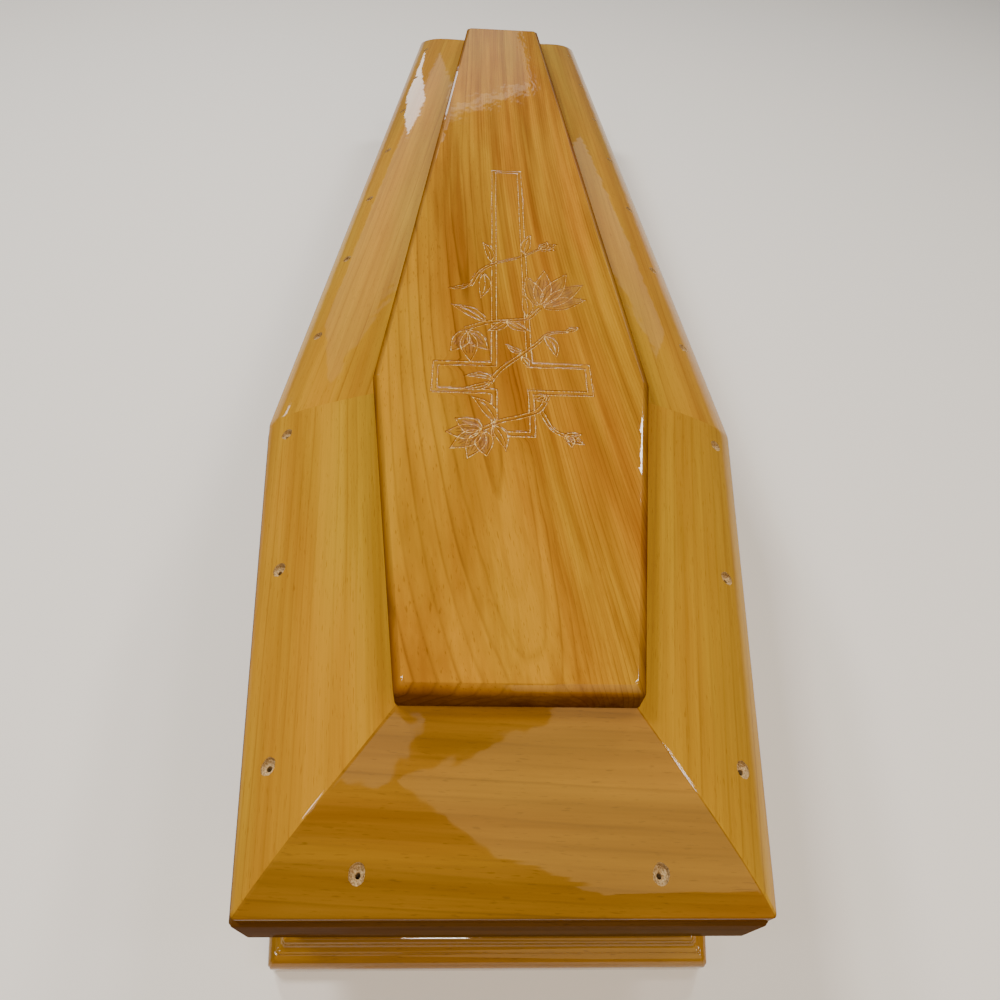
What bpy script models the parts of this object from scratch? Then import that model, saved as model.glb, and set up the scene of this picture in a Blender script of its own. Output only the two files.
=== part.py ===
"""Wooden coffin of six mitred sides, with a lift-off lid.

The body is a floor board, six walls, a band under the lid's rim and a plinth
moulding round the foot.  The lid is six curved slope boards and a raised top
board, carved with a Latin cross and a flowering vine.  Every mitred piece is a
profile of (inset, height) points, carried along one side of the same plan:
the inset is measured inwards from the lid's rim, the height from the ground.

Frame: metres, +Z up, head at -Y, foot at +Y, origin on the ground under the
middle.
"""

import math

import bmesh
import bpy
import numpy as np
from mathutils import Vector
from mathutils.geometry import delaunay_2d_cdt

# Plan of the lid's rim
LENGTH = 1.950
HEAD_WIDTH = 0.465
SHOULDER_WIDTH = 0.650
FOOT_WIDTH = 0.455
SHOULDER_FROM_HEAD = 0.511

# Heights above the ground
RIM_HEIGHT = 0.302
PANEL_HEIGHT = 0.405

# The lid lies a little to the right of the body, and its top board a little to
# the right of the lid's middle
LID_SHIFT = 0.003
PANEL_SHIFT = 0.008

# Clearance between pieces that touch
GAP = 0.0003

# Body
FLOOR_THICKNESS = 0.018
WALL_THICKNESS = 0.020
WALL_INSET = 0.016

# Band round the top of the body
BAND_HEIGHT = 0.080
BAND_PROUD = 0.0025
BAND_EDGE_ROUND = 0.003
BAND_FOOT_ROUND = 0.008

# Plinth moulding round the foot of the body: a square foot, an ovolo, a step,
# a cove and a bead, from the ground up
PLINTH_PROUD = 0.012
PLINTH_FOOT_HEIGHT = 0.026
PLINTH_OVOLO_HEIGHT = 0.015
PLINTH_STEP_PROUD = 0.001
PLINTH_STEP_HEIGHT = 0.0015
PLINTH_COVE_HEIGHT = 0.0075
PLINTH_COVE_INSET = 0.006
PLINTH_BEAD_RADIUS = 0.0045

# Slope boards of the lid
LID_EDGE = 0.020
SLOPE_THICKNESS = 0.020
ROLL_RISE = 0.022
ROLL_LENGTH = 0.032
SEAT_WIDTH = 0.040
SEAT_EDGE = 0.009

# Raised top board of the lid
PANEL_THICKNESS = 0.036
PANEL_INSET = 0.149
PANEL_BEVEL_RUN = 0.009
PANEL_BEVEL_DROP = 0.006
PANEL_OVERHANG = 0.005

# Screw holes down through the slope boards
SCREW_INSET = 0.0265
COUNTERBORE_RADIUS = 0.00725
COUNTERBORE_DEPTH = 0.008
PILOT_RADIUS = 0.0024
SHOULDER_SCREWS = 3
SHOULDER_SCREW_HEAD_MARGIN = 0.100
SHOULDER_SCREW_END_MARGIN = 0.036
LEG_SCREWS = 7
LEG_SCREW_START_MARGIN = 0.160
LEG_SCREW_FOOT_MARGIN = 0.106
END_SCREW_SPACING = 0.261

# Carved cross: two parallel grooves round a Latin cross, its head to the head
CROSS_FROM_HEAD = 0.520
CROSS_LIMB_WIDTH = 0.055
CROSSBAR_LENGTH = 0.212
CROSS_HEAD_LIMB = 0.095
CROSS_FOOT_LIMB = 0.529
CROSS_LINE_SPACING = 0.007
CROSS_GROOVE_WIDTH = 0.0028
GROOVE_DEPTH = 0.0020

# Carved vine: its own size, and the widths of its cuts
VINE_UNIT = 0.001
VINE_GROOVE_WIDTH = 0.0020
STEM_WIDTH = 0.0055
SCOOP_DEPTH = 0.0024
STEM_STEP = 0.021
PETAL_START = 0.12
PETAL_SHORTENING = 0.22
PETAL_BOW = -3.0

# Round pieces
SCREW_SEGMENTS = 14
ROUND_STEPS = 5
SLOPE_STEPS = 10

PANEL_UNDERSIDE = PANEL_HEIGHT - PANEL_THICKNESS
SEAT_HEIGHT = PANEL_UNDERSIDE - GAP
PANEL_EDGE_INSET = PANEL_INSET - PANEL_BEVEL_RUN
SEAT_INSET = PANEL_EDGE_INSET + PANEL_OVERHANG
WALL_INNER_INSET = WALL_INSET + WALL_THICKNESS
WALL_TOP = RIM_HEIGHT - LID_EDGE - GAP

# Sides of the plan, in order round it from the head's right-hand corner
SIDES = ("shoulder_right", "leg_right", "foot", "leg_left", "shoulder_left", "head")


def plan_of_rim():
    """Corners of the lid's rim, anticlockwise from the head's right corner."""
    head_y = -LENGTH / 2
    right = [
        (HEAD_WIDTH / 2, head_y),
        (SHOULDER_WIDTH / 2, head_y + SHOULDER_FROM_HEAD),
        (FOOT_WIDTH / 2, LENGTH / 2),
    ]
    left = [(-x, y) for x, y in reversed(right)]
    return [Vector(point) for point in right + left]


RIM = plan_of_rim()


def along(side):
    """Unit vector along a side, from its first corner to its second."""
    start = RIM[side % len(RIM)]
    end = RIM[(side + 1) % len(RIM)]
    return (end - start).normalized()


def inward(side):
    """Unit vector into the plan, square to a side."""
    direction = along(side)
    return Vector((-direction.y, direction.x))


def corner(index, inset):
    """Corner of the plan once every side is drawn in by inset."""
    before = inward(index - 1)
    after = inward(index)
    return RIM[index % len(RIM)] + (before + after) * (inset / (1 + before.dot(after)))


def no_drift(inset):
    """The body is centred at every inset."""
    return Vector((0.0, 0.0))


def lid_drift(inset):
    """How far the lid lies to the right, more so towards its top board."""
    return Vector((LID_SHIFT + PANEL_SHIFT * inset / PANEL_INSET, 0.0))


def board_end(side, end, inset, drift):
    """Where a line at this inset meets the mitre, less half the gap."""
    index = side + end
    mitre = (inward(index - 1) + inward(index)).normalized()
    clearance = GAP / 2 / inward(side).dot(mitre)
    back = 1 if end == 0 else -1
    return corner(index, inset) + drift(inset) + along(side) * (clearance * back)


def make_material(name, colour, roughness):
    """Principled wood finish."""
    material = bpy.data.materials.new(name)
    material.use_nodes = True
    shader = material.node_tree.nodes["Principled BSDF"]
    shader.inputs["Base Color"].default_value = (*colour, 1.0)
    shader.inputs["Roughness"].default_value = roughness
    material.diffuse_color = (*colour, 1.0)
    return material


def add_object(name, bm, colour, roughness=0.25):
    """Turn a bmesh into a named object with its own material."""
    bmesh.ops.recalc_face_normals(bm, faces=bm.faces)
    mesh = bpy.data.meshes.new(name)
    bm.to_mesh(mesh)
    bm.free()
    mesh.materials.append(make_material(name, colour, roughness))
    obj = bpy.data.objects.new(name, mesh)
    bpy.context.scene.collection.objects.link(obj)
    return obj


def mitred_board(name, side, profile, colour, drift=no_drift):
    """Carry a closed profile along one side, mitred at both corners."""
    bm = bmesh.new()
    rings = []
    for end in (0, 1):
        ring = []
        for inset, height in profile:
            x, y = board_end(side, end, inset, drift)
            ring.append(bm.verts.new((x, y, height)))
        rings.append(ring)
    first, second = rings
    for i in range(len(profile)):
        j = (i + 1) % len(profile)
        bm.faces.new((first[i], first[j], second[j], second[i]))
    bm.faces.new(first)
    bm.faces.new(second[::-1])
    return add_object(name, bm, colour)


def arc(centre, radii, start, end, steps=ROUND_STEPS):
    """Points of an elliptical arc in the (inset, height) plane, angles in degrees."""
    points = []
    for k in range(steps + 1):
        angle = math.radians(start + (end - start) * k / steps)
        inset = centre[0] + radii[0] * math.cos(angle)
        height = centre[1] + radii[1] * math.sin(angle)
        points.append((inset, height))
    return points


def floor_board():
    """Flat board that the walls stand on."""
    bm = bmesh.new()
    layers = []
    for height in (0.0, FLOOR_THICKNESS):
        points = [corner(i, WALL_INSET) for i in range(len(RIM))]
        layers.append([bm.verts.new((p.x, p.y, height)) for p in points])
    lower, upper = layers
    for i in range(len(RIM)):
        j = (i + 1) % len(RIM)
        bm.faces.new((lower[i], lower[j], upper[j], upper[i]))
    bm.faces.new(lower[::-1])
    bm.faces.new(upper)
    return add_object("floor_board", bm, (0.36, 0.20, 0.07), 0.5)


def wall_profile():
    """Plain board on edge."""
    foot = FLOOR_THICKNESS + GAP
    return [
        (WALL_INSET, foot),
        (WALL_INNER_INSET, foot),
        (WALL_INNER_INSET, WALL_TOP),
        (WALL_INSET, WALL_TOP),
    ]


def band_profile():
    """Facing strip under the lid, round at its upper edge and its foot."""
    back = WALL_INSET - GAP
    face = -BAND_PROUD
    foot = WALL_TOP - BAND_HEIGHT
    edge = BAND_EDGE_ROUND
    turn = BAND_FOOT_ROUND
    upper = arc((face + edge, WALL_TOP - edge), (edge, edge), 90, 180, 3)
    lower = arc((face + turn, foot + turn), (turn, turn), 180, 270, 4)
    return [(back, foot), (back, WALL_TOP)] + upper + lower


def plinth_profile():
    """Moulding round the foot of the body, from the ground up."""
    back = WALL_INSET - GAP
    face = -PLINTH_PROUD
    step = -PLINTH_STEP_PROUD
    ovolo_top = PLINTH_FOOT_HEIGHT + PLINTH_OVOLO_HEIGHT
    cove_foot = ovolo_top + PLINTH_STEP_HEIGHT
    cove_top = cove_foot + PLINTH_COVE_HEIGHT
    cove_run = PLINTH_COVE_INSET - step
    radius = PLINTH_BEAD_RADIUS
    ovolo_radii = (step - face, PLINTH_OVOLO_HEIGHT)
    ovolo = arc((step, PLINTH_FOOT_HEIGHT), ovolo_radii, 180, 90)
    cove = arc((step, cove_top), (cove_run, PLINTH_COVE_HEIGHT), 270, 360)
    bead = arc((PLINTH_COVE_INSET + radius, cove_top), (radius, radius), 180, 90)
    return [(back, 0.0), (face, 0.0)] + ovolo + cove + bead[1:] + [(back, cove_top + radius)]


def slope_grade():
    """Rise per metre of the slope once clear of the roll at the rim."""
    rolled = ROLL_RISE * (1 - math.exp(-SEAT_INSET / ROLL_LENGTH))
    return (SEAT_HEIGHT - RIM_HEIGHT - rolled) / SEAT_INSET


def slope_height(inset):
    """Outer face of the slope boards: a steady rise with a roll at the rim."""
    rolled = ROLL_RISE * (1 - math.exp(-inset / ROLL_LENGTH))
    return RIM_HEIGHT + slope_grade() * inset + rolled


def slope_underside():
    """Height of the inner face above the wall, one thickness below the outer face."""
    roll_grade = ROLL_RISE / ROLL_LENGTH * math.exp(-WALL_INNER_INSET / ROLL_LENGTH)
    grade = slope_grade() + roll_grade
    return slope_height(WALL_INNER_INSET) - SLOPE_THICKNESS * math.hypot(1, grade)


def slope_profile():
    """Section of the slope boards: the rim, the hollowed outer face, the seat
    and the flat inner face."""
    outer = []
    for k in range(SLOPE_STEPS + 1):
        inset = SEAT_INSET * (k / SLOPE_STEPS) ** 2
        outer.append((inset, slope_height(inset)))
    seat_end = SEAT_INSET + SEAT_WIDTH
    foot = RIM_HEIGHT - LID_EDGE
    inner = [
        (seat_end, SEAT_HEIGHT),
        (seat_end, SEAT_HEIGHT - SEAT_EDGE),
        (WALL_INNER_INSET, slope_underside()),
        (WALL_INNER_INSET, foot),
    ]
    return [(0.0, foot)] + outer + inner


def even(start, end, count):
    """Evenly spread places from start to end, both included."""
    return [start + (end - start) * k / (count - 1) for k in range(count)]


def screw_places(side):
    """Distances of the screw holes along a side, from its first corner."""
    length = (RIM[(side + 1) % len(RIM)] - RIM[side]).length
    kind = SIDES[side].split("_")[0]
    if kind == "shoulder":
        end = length - SHOULDER_SCREW_END_MARGIN
        places = even(SHOULDER_SCREW_HEAD_MARGIN, end, SHOULDER_SCREWS)
    elif kind == "leg":
        end = length - LEG_SCREW_FOOT_MARGIN
        places = even(LEG_SCREW_START_MARGIN, end, LEG_SCREWS)
    else:
        middle = length / 2
        places = [middle - END_SCREW_SPACING / 2, middle + END_SCREW_SPACING / 2]
    if side > SIDES.index("foot") and side < SIDES.index("head"):
        places = [length - place for place in places]
    return places


def add_drill(bm, x, y):
    """Stepped drill: the pilot right through, the counterbore from above."""
    surface = slope_height(SCREW_INSET)
    floor = surface - COUNTERBORE_DEPTH
    below = RIM_HEIGHT - 2 * LID_EDGE
    above = surface + LID_EDGE
    steps = [
        (PILOT_RADIUS, below),
        (PILOT_RADIUS, floor),
        (COUNTERBORE_RADIUS, floor),
        (COUNTERBORE_RADIUS, above),
    ]
    rings = []
    for radius, height in steps:
        ring = []
        for k in range(SCREW_SEGMENTS):
            angle = 2 * math.pi * k / SCREW_SEGMENTS
            place = (x + radius * math.cos(angle), y + radius * math.sin(angle), height)
            ring.append(bm.verts.new(place))
        rings.append(ring)
    for lower, upper in zip(rings, rings[1:]):
        for i in range(SCREW_SEGMENTS):
            j = (i + 1) % SCREW_SEGMENTS
            bm.faces.new((lower[i], lower[j], upper[j], upper[i]))
    bm.faces.new(rings[0][::-1])
    bm.faces.new(rings[-1])


def slope_board(side):
    """One slope board of the lid, drilled along its rim."""
    name = "lid_slope_" + SIDES[side]
    board = mitred_board(name, side, slope_profile(), (0.48, 0.27, 0.08), lid_drift)
    bm = bmesh.new()
    for distance in screw_places(side):
        place = RIM[side] + along(side) * distance + inward(side) * SCREW_INSET
        place += lid_drift(SCREW_INSET)
        add_drill(bm, place.x, place.y)
    drills = add_object("drills_" + SIDES[side], bm, (0.6, 0.5, 0.3), 0.8)
    drills.hide_render = True
    drills.display_type = "WIRE"
    cut = board.modifiers.new("screw holes", "BOOLEAN")
    cut.operation = "DIFFERENCE"
    cut.solver = "EXACT"
    cut.object = drills
    return board


def smooth_path(points, step):
    """Catmull-Rom curve through points, with a point about every step."""
    knots = [Vector(point) for point in points]
    knots = [2 * knots[0] - knots[1]] + knots + [2 * knots[-1] - knots[-2]]
    path = []
    for a, b, c, d in zip(knots, knots[1:], knots[2:], knots[3:]):
        count = max(1, round((c - b).length / step))
        for k in range(count):
            t = k / count
            linear = (c - a) * t
            square = (2 * a - 5 * b + 4 * c - d) * t ** 2
            cube = (3 * b - a - 3 * c + d) * t ** 3
            path.append((2 * b + linear + square + cube) / 2)
    path.append(knots[-2])
    return path


def side_normals(path):
    """Unit normals to the left of each point of a path, widened at mitres."""
    normals = []
    for i, point in enumerate(path):
        before = path[max(i - 1, 0)]
        after = path[min(i + 1, len(path) - 1)]
        arriving = (point - before if i > 0 else after - point).normalized()
        leaving = (after - point if i < len(path) - 1 else point - before).normalized()
        first = Vector((-arriving.y, arriving.x))
        second = Vector((-leaving.y, leaving.x))
        normals.append((first + second) / (1 + first.dot(second)))
    return normals


def shifted(path, offsets):
    """A path moved sideways by one offset at each of its points."""
    return [p + n * w for p, n, w in zip(path, side_normals(path), offsets)]


def groove(path, width, depth):
    """V-cut along a path, running out to a point at both ends."""
    lead = (path[0] - path[1]).normalized() * width
    tail = (path[-1] - path[-2]).normalized() * width
    run = [path[0] + lead] + path + [path[-1] + tail]
    half = [0.0] + [width / 2] * len(path) + [0.0]
    deep = [0.0] + [depth] * len(path) + [0.0]
    return run, half, deep


class Vine:
    """Cuts of the flowering vine, and the shapes that hide the cross behind it.

    Its places are in vine units from the cross's centre, x to the right and
    y towards the foot.
    """

    def __init__(self, centre):
        self.centre = Vector(centre)
        self.cuts = []
        self.shapes = []

    def place(self, point):
        return self.centre + Vector(point) * VINE_UNIT

    def outline(self, left, right):
        self.cuts.append(groove(left, VINE_GROOVE_WIDTH, GROOVE_DEPTH))
        self.cuts.append(groove(right, VINE_GROOVE_WIDTH, GROOVE_DEPTH))
        self.shapes.append(left + right[::-1])

    def stem(self, points, start_width=1.0, end_width=0.45):
        """A raised stem between two grooves, narrower at its end."""
        path = smooth_path([self.place(p) for p in points], STEM_STEP)
        last = len(path) - 1
        spread = []
        for i in range(len(path)):
            share = start_width + (end_width - start_width) * i / last
            spread.append(STEM_WIDTH / 2 * share)
        self.outline(shifted(path, spread), shifted(path, [-s for s in spread]))

    def blade(self, base, tip, width, bow=0.0, steps=4):
        """Midrib and both edges of a leaf or petal, bowed to one side."""
        start, end = self.place(base), self.place(tip)
        across = Vector((start.y - end.y, end.x - start.x)).normalized()
        rib, left, right = [], [], []
        for k in range(steps + 1):
            t = k / steps
            middle = start.lerp(end, t) + across * (bow * VINE_UNIT * 4 * t * (1 - t))
            half = width * VINE_UNIT / 2 * math.sin(math.pi * t ** 0.8)
            rib.append(middle)
            left.append(middle + across * half)
            right.append(middle - across * half)
        return rib, left, right

    def leaf(self, base, tip, width, bow=0.0):
        """Pointed leaf: its outline and a groove for the midrib."""
        rib, left, right = self.blade(base, tip, width, bow)
        self.outline(left, right)
        self.cuts.append(groove(rib[:-1], VINE_GROOVE_WIDTH, GROOVE_DEPTH))

    def petal(self, base, tip, width, bow=0.0):
        """Scooped petal: one wide cut, deepest along its middle."""
        rib, left, right = self.blade(base, tip, width, bow)
        half = [(a - b).length / 2 for a, b in zip(left, right)]
        widest = max(half)
        deep = [SCOOP_DEPTH * h / widest for h in half]
        self.cuts.append((rib, half, deep))
        self.shapes.append(left + right[::-1])

    def flower(self, base, tip, spread, petals, width):
        """Open flower: petals fanned out from its base, the middle one longest."""
        start, end = Vector(base), Vector(tip)
        axis = end - start
        for k in range(petals):
            share = 2 * k / (petals - 1) - 1
            angle = math.radians(spread * share)
            reach = axis * (1 - PETAL_SHORTENING * share ** 2)
            turned = Vector((
                reach.x * math.cos(angle) - reach.y * math.sin(angle),
                reach.x * math.sin(angle) + reach.y * math.cos(angle),
            ))
            self.petal(start + turned * PETAL_START, start + turned, width, PETAL_BOW * share)

    def covers(self, point):
        """Whether a leaf, petal or stem lies over this point."""
        return any(inside(point, shape) for shape in self.shapes)


def inside(point, shape):
    """Even-odd test of a point against a closed outline."""
    crossed = False
    for a, b in zip(shape, shape[1:] + shape[:1]):
        if (a.y > point.y) != (b.y > point.y):
            meets = a.x + (point.y - a.y) * (b.x - a.x) / (b.y - a.y)
            crossed ^= point.x < meets
    return crossed


def grow_vine(centre):
    """The whole vine: three stems across the cross, with leaves and flowers."""
    vine = Vine(centre)
    vine.stem([(-60, 188), (-46, 222), (-24, 243), (2, 254), (28, 268), (48, 284)])
    vine.flower((48, 284), (80, 300), 26, 3, 13)
    vine.leaf((26, 272), (38, 322), 15, 3)
    vine.leaf((-29, 250), (-42, 298), 13, -4)
    vine.leaf((-58, 192), (-92, 180), 9, 3)
    vine.leaf((-40, 216), (-44, 160), 18, 4)
    vine.stem([(-64, 92), (-34, 106), (0, 112), (26, 118), (44, 140)], 1.2, 0.8)
    vine.flower((42, 138), (90, 222), 42, 5, 27)
    vine.leaf((24, 122), (20, 172), 16, -4)
    vine.leaf((-4, 113), (-32, 90), 14, 3)
    vine.leaf((-6, 111), (26, 92), 14, -3)
    vine.leaf((-36, 108), (-86, 142), 17, -4)
    vine.flower((-62, 94), (-56, 28), 30, 3, 24)
    vine.stem([(82, 92), (54, 86), (36, 66), (8, 38), (-16, 14), (-30, -10)], 0.6, 1.0)
    vine.leaf((80, 92), (98, 100), 8, 1)
    vine.leaf((48, 82), (62, 42), 15, 4)
    vine.leaf((16, 48), (-6, 62), 9, 3)
    vine.leaf((14, 40), (22, 20), 9, 2)
    vine.leaf((-24, -2), (-62, 2), 9, -4)
    vine.leaf((-28, -8), (-66, -20), 9, 3)
    vine.stem([(46, -28), (34, -52), (10, -64), (-16, -72), (-36, -84)], 1.1, 0.8)
    vine.leaf((44, -30), (30, -36), 9, 2)
    vine.leaf((-22, -74), (-52, -34), 16, -5)
    vine.leaf((-26, -78), (-10, -116), 14, 4)
    vine.flower((-34, -84), (-76, -114), 56, 5, 22)
    vine.stem([(36, -56), (48, -82), (66, -94)], 0.9, 0.6)
    vine.flower((62, -90), (84, -104), 34, 3, 11)
    return vine


def cross_outline(centre, inset):
    """Corners of the Latin cross, drawn in by inset."""
    limb = CROSS_LIMB_WIDTH / 2 - inset
    arm = CROSSBAR_LENGTH / 2 - inset
    head = inset - CROSS_HEAD_LIMB
    foot = CROSS_FOOT_LIMB - inset
    right = [(limb, head), (limb, -limb), (arm, -limb), (arm, limb), (limb, limb), (limb, foot)]
    left = [(-x, y) for x, y in reversed(right)]
    return [Vector(centre) + Vector(point) for point in right + left]


def uncovered_runs(corners, covers, step=0.001):
    """Stretches of a closed outline that the vine leaves open."""
    samples = []
    for a, b in zip(corners, corners[1:] + corners[:1]):
        count = max(2, round((b - a).length / step))
        for k in range(count):
            samples.append((a.lerp(b, k / count), k == 0))
    hidden = [covers(point) for point, _ in samples]
    start = hidden.index(True) if True in hidden else 0
    order = [(start + k) % len(samples) for k in range(len(samples))]
    runs, run = [], []
    for i in order:
        if hidden[i]:
            if len(run) > 3:
                runs.append(run)
            run = []
        else:
            run.append(samples[i])
    if len(run) > 3:
        runs.append(run)
    paths = []
    for run in runs:
        inner = [point for point, is_corner in run[1:-1] if is_corner]
        paths.append([run[0][0]] + inner + [run[-1][0]])
    return paths


def all_cuts(centre):
    """Every cut of the carving: the vine's, and the cross's where it shows."""
    vine = grow_vine(centre)
    cuts = list(vine.cuts)
    for inset in (0.0, CROSS_LINE_SPACING):
        for path in uncovered_runs(cross_outline(centre, inset), vine.covers):
            cuts.append(groove(path, CROSS_GROOVE_WIDTH, GROOVE_DEPTH))
    return cuts


def cut_depths(places, cuts):
    """How deep the carving is at each place."""
    deepest = np.zeros(len(places))
    for path, half, deep in cuts:
        for i in range(len(path) - 1):
            start = np.array(path[i])
            run = np.array(path[i + 1]) - start
            t = np.clip((places - start) @ run / max(run @ run, 1e-12), 0, 1)
            distance = np.linalg.norm(places - start - t[:, None] * run, axis=1)
            width = half[i] + (half[i + 1] - half[i]) * t
            depth = deep[i] + (deep[i + 1] - deep[i]) * t
            share = np.clip(1 - distance / np.maximum(width, 1e-9), 0, 1)
            deepest = np.maximum(deepest, depth * share)
    deepest[deepest < GROOVE_DEPTH / 20] = 0
    return deepest


def carved_surface(border, cuts):
    """Triangulate the top board's face, with every cut's middle and edges in it."""
    points = list(border)
    edges = [(i, (i + 1) % len(border)) for i in range(len(border))]

    def add_line(line):
        first = len(points)
        points.extend(line)
        edges.extend((first + i, first + i + 1) for i in range(len(line) - 1))

    for path, half, _ in cuts:
        add_line(path)
        add_line(shifted(path, half))
        add_line(shifted(path, [-h for h in half]))
    flat = [Vector((p.x, p.y)) for p in points]
    result = delaunay_2d_cdt(flat, edges, [], 0, 2e-5)
    places = np.array([tuple(p) for p in result[0]])
    return places, cut_depths(places, cuts), result[2]


def top_panel():
    """Raised top board: flat underside, square edge, bevel, and carved face."""
    sides = len(RIM)
    middle = lid_drift(PANEL_INSET)
    border = [corner(i, PANEL_INSET) + middle for i in range(sides)]
    centre = middle + Vector((0.0, CROSS_FROM_HEAD - LENGTH / 2))
    places, depths, triangles = carved_surface(border, all_cuts(centre))
    bm = bmesh.new()
    face = [bm.verts.new((x, y, PANEL_HEIGHT - d)) for (x, y), d in zip(places, depths)]
    for triangle in triangles:
        bm.faces.new([face[i] for i in triangle])
    rings = [[]]
    for point in border:
        nearest = np.argmin(np.linalg.norm(places - np.array(point), axis=1))
        rings[0].append(face[nearest])
    for height in (PANEL_HEIGHT - PANEL_BEVEL_DROP, PANEL_UNDERSIDE):
        ring = [corner(i, PANEL_EDGE_INSET) + middle for i in range(sides)]
        rings.append([bm.verts.new((p.x, p.y, height)) for p in ring])
    for upper, lower in zip(rings, rings[1:]):
        for i in range(sides):
            j = (i + 1) % sides
            bm.faces.new((upper[i], lower[i], lower[j], upper[j]))
    bm.faces.new(rings[-1][::-1])
    return add_object("lid_top_panel", bm, (0.50, 0.29, 0.08), 0.15)


def build():
    """The whole coffin, piece by piece."""
    for obj in list(bpy.data.objects):
        bpy.data.objects.remove(obj, do_unlink=True)
    floor_board()
    for side, name in enumerate(SIDES):
        mitred_board("wall_" + name, side, wall_profile(), (0.36, 0.20, 0.07))
        mitred_board("band_" + name, side, band_profile(), (0.34, 0.18, 0.06))
        mitred_board("plinth_" + name, side, plinth_profile(), (0.34, 0.18, 0.05))
        slope_board(side)
    top_panel()


build()
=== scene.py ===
# %% [markdown]
# # A wooden coffin with a carved lid
#
# The frame holds the coffin's boards at their real size, as plain solids. This
# lesson makes each board again as it looks: edges eased by sandpaper, grain that
# runs the length of each board, holes drilled down to raw wood, and a top board
# carved with a cross and a flowering vine, all under a thick clear lacquer.

# %% Load the frame
import math

import bmesh
import bpy
import numpy as np
from mathutils import Matrix, Quaternion, Vector
from mathutils.geometry import delaunay_2d_cdt


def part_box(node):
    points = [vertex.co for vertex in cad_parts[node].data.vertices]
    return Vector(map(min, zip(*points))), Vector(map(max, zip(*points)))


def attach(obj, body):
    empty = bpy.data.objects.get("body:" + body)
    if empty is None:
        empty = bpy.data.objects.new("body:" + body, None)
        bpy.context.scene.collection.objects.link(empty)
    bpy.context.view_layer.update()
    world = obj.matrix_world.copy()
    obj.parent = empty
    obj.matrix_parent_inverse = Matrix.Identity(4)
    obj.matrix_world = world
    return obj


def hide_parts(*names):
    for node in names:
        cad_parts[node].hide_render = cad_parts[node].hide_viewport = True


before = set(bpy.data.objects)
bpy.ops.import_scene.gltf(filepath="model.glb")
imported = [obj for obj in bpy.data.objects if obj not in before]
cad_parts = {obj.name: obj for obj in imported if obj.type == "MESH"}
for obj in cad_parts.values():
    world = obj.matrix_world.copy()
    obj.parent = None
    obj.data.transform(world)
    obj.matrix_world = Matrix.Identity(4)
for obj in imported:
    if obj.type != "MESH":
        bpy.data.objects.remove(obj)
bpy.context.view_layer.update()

# %% [markdown]
# ## The camera
#
# The photograph looks down the coffin from just behind its head end, with a wide
# lens. The lens, the camera's place and its turn were fitted to the lid's corners
# and screw holes. The view isn't centred on the picture, which a lens shift gives.

# %% Camera
PHOTO_PIXELS = 1000
FOCAL_PIXELS = 671.05
OPTICAL_CENTRE = (499.4, 301.0)
SENSOR_MM = 36.0
CAMERA_PLACE = (-0.0459, -1.0532, 1.0688)
CAMERA_TURN = (0.8465, -0.0536, -0.0071)

camera_data = bpy.data.cameras.new("photo_camera")
camera_data.sensor_width = SENSOR_MM
camera_data.lens = SENSOR_MM * FOCAL_PIXELS / PHOTO_PIXELS
camera_data.shift_x = 0.5 - OPTICAL_CENTRE[0] / PHOTO_PIXELS
camera_data.shift_y = OPTICAL_CENTRE[1] / PHOTO_PIXELS - 0.5
camera = bpy.data.objects.new("photo_camera", camera_data)
camera.location = CAMERA_PLACE
camera.rotation_euler = CAMERA_TURN
bpy.context.scene.collection.objects.link(camera)
bpy.context.scene.camera = camera
print("Lens", round(camera_data.lens, 2), "mm")

# %% [markdown]
# ## The plan
#
# Every board follows one six-sided plan, so the plan is read once from the
# frame: the rim's corners, and how far the lid lies to the right of the body.
# Drawing the plan's sides in by an inset gives every line of every moulding.

# %% Plan of the rim, from the frame
head_low, head_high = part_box("lid_slope_head")
foot_low, foot_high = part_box("lid_slope_foot")
leg_low, leg_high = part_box("lid_slope_leg_right")
left_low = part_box("lid_slope_leg_left")[0]
panel_low, panel_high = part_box("lid_top_panel")

LID_SHIFT = (leg_high.x + left_low.x) / 2
HEAD_HALF = (head_high.x - head_low.x) / 2
SHOULDER_HALF = (leg_high.x - left_low.x) / 2
FOOT_HALF = (foot_high.x - foot_low.x) / 2
HEAD_Y = head_low.y
SHOULDER_Y = leg_low.y
FOOT_Y = foot_high.y

RIGHT_CORNERS = [(HEAD_HALF, HEAD_Y), (SHOULDER_HALF, SHOULDER_Y), (FOOT_HALF, FOOT_Y)]
LEFT_CORNERS = [(-x, y) for x, y in reversed(RIGHT_CORNERS)]
RIM = [Vector(point) for point in RIGHT_CORNERS + LEFT_CORNERS]
SIDES = ("shoulder_right", "leg_right", "foot", "leg_left", "shoulder_left", "head")
print("Rim corners:", [tuple(round(c, 4) for c in p) for p in RIM])

# %% Lines drawn in from the rim


def along(side):
    """Unit vector along a side of the plan."""
    return (RIM[(side + 1) % len(RIM)] - RIM[side % len(RIM)]).normalized()


def inward(side):
    """Unit vector into the plan, square to a side."""
    direction = along(side)
    return Vector((-direction.y, direction.x))


def corner(index, inset):
    """Corner of the plan once every side is drawn in by inset."""
    before = inward(index - 1)
    after = inward(index)
    return RIM[index % len(RIM)] + (before + after) * (inset / (1 + before.dot(after)))


print("Shoulder drawn in by 100 mm:", corner(1, 0.1))

# %% [markdown]
# ## Wood under lacquer
#
# The boards are a pale, straight-grained softwood, stained honey-gold and then
# sprayed with a thick clear lacquer. A sawn board is a slice through a tree, so
# its figure isn't painted on: each point of a board knows its place in the log,
# and its ring is its distance from the log's heart. Where the slice lies flat to
# the rings they show as wide arches, and where it stands across them, as lines.

# %% A colour from its hex value


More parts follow.
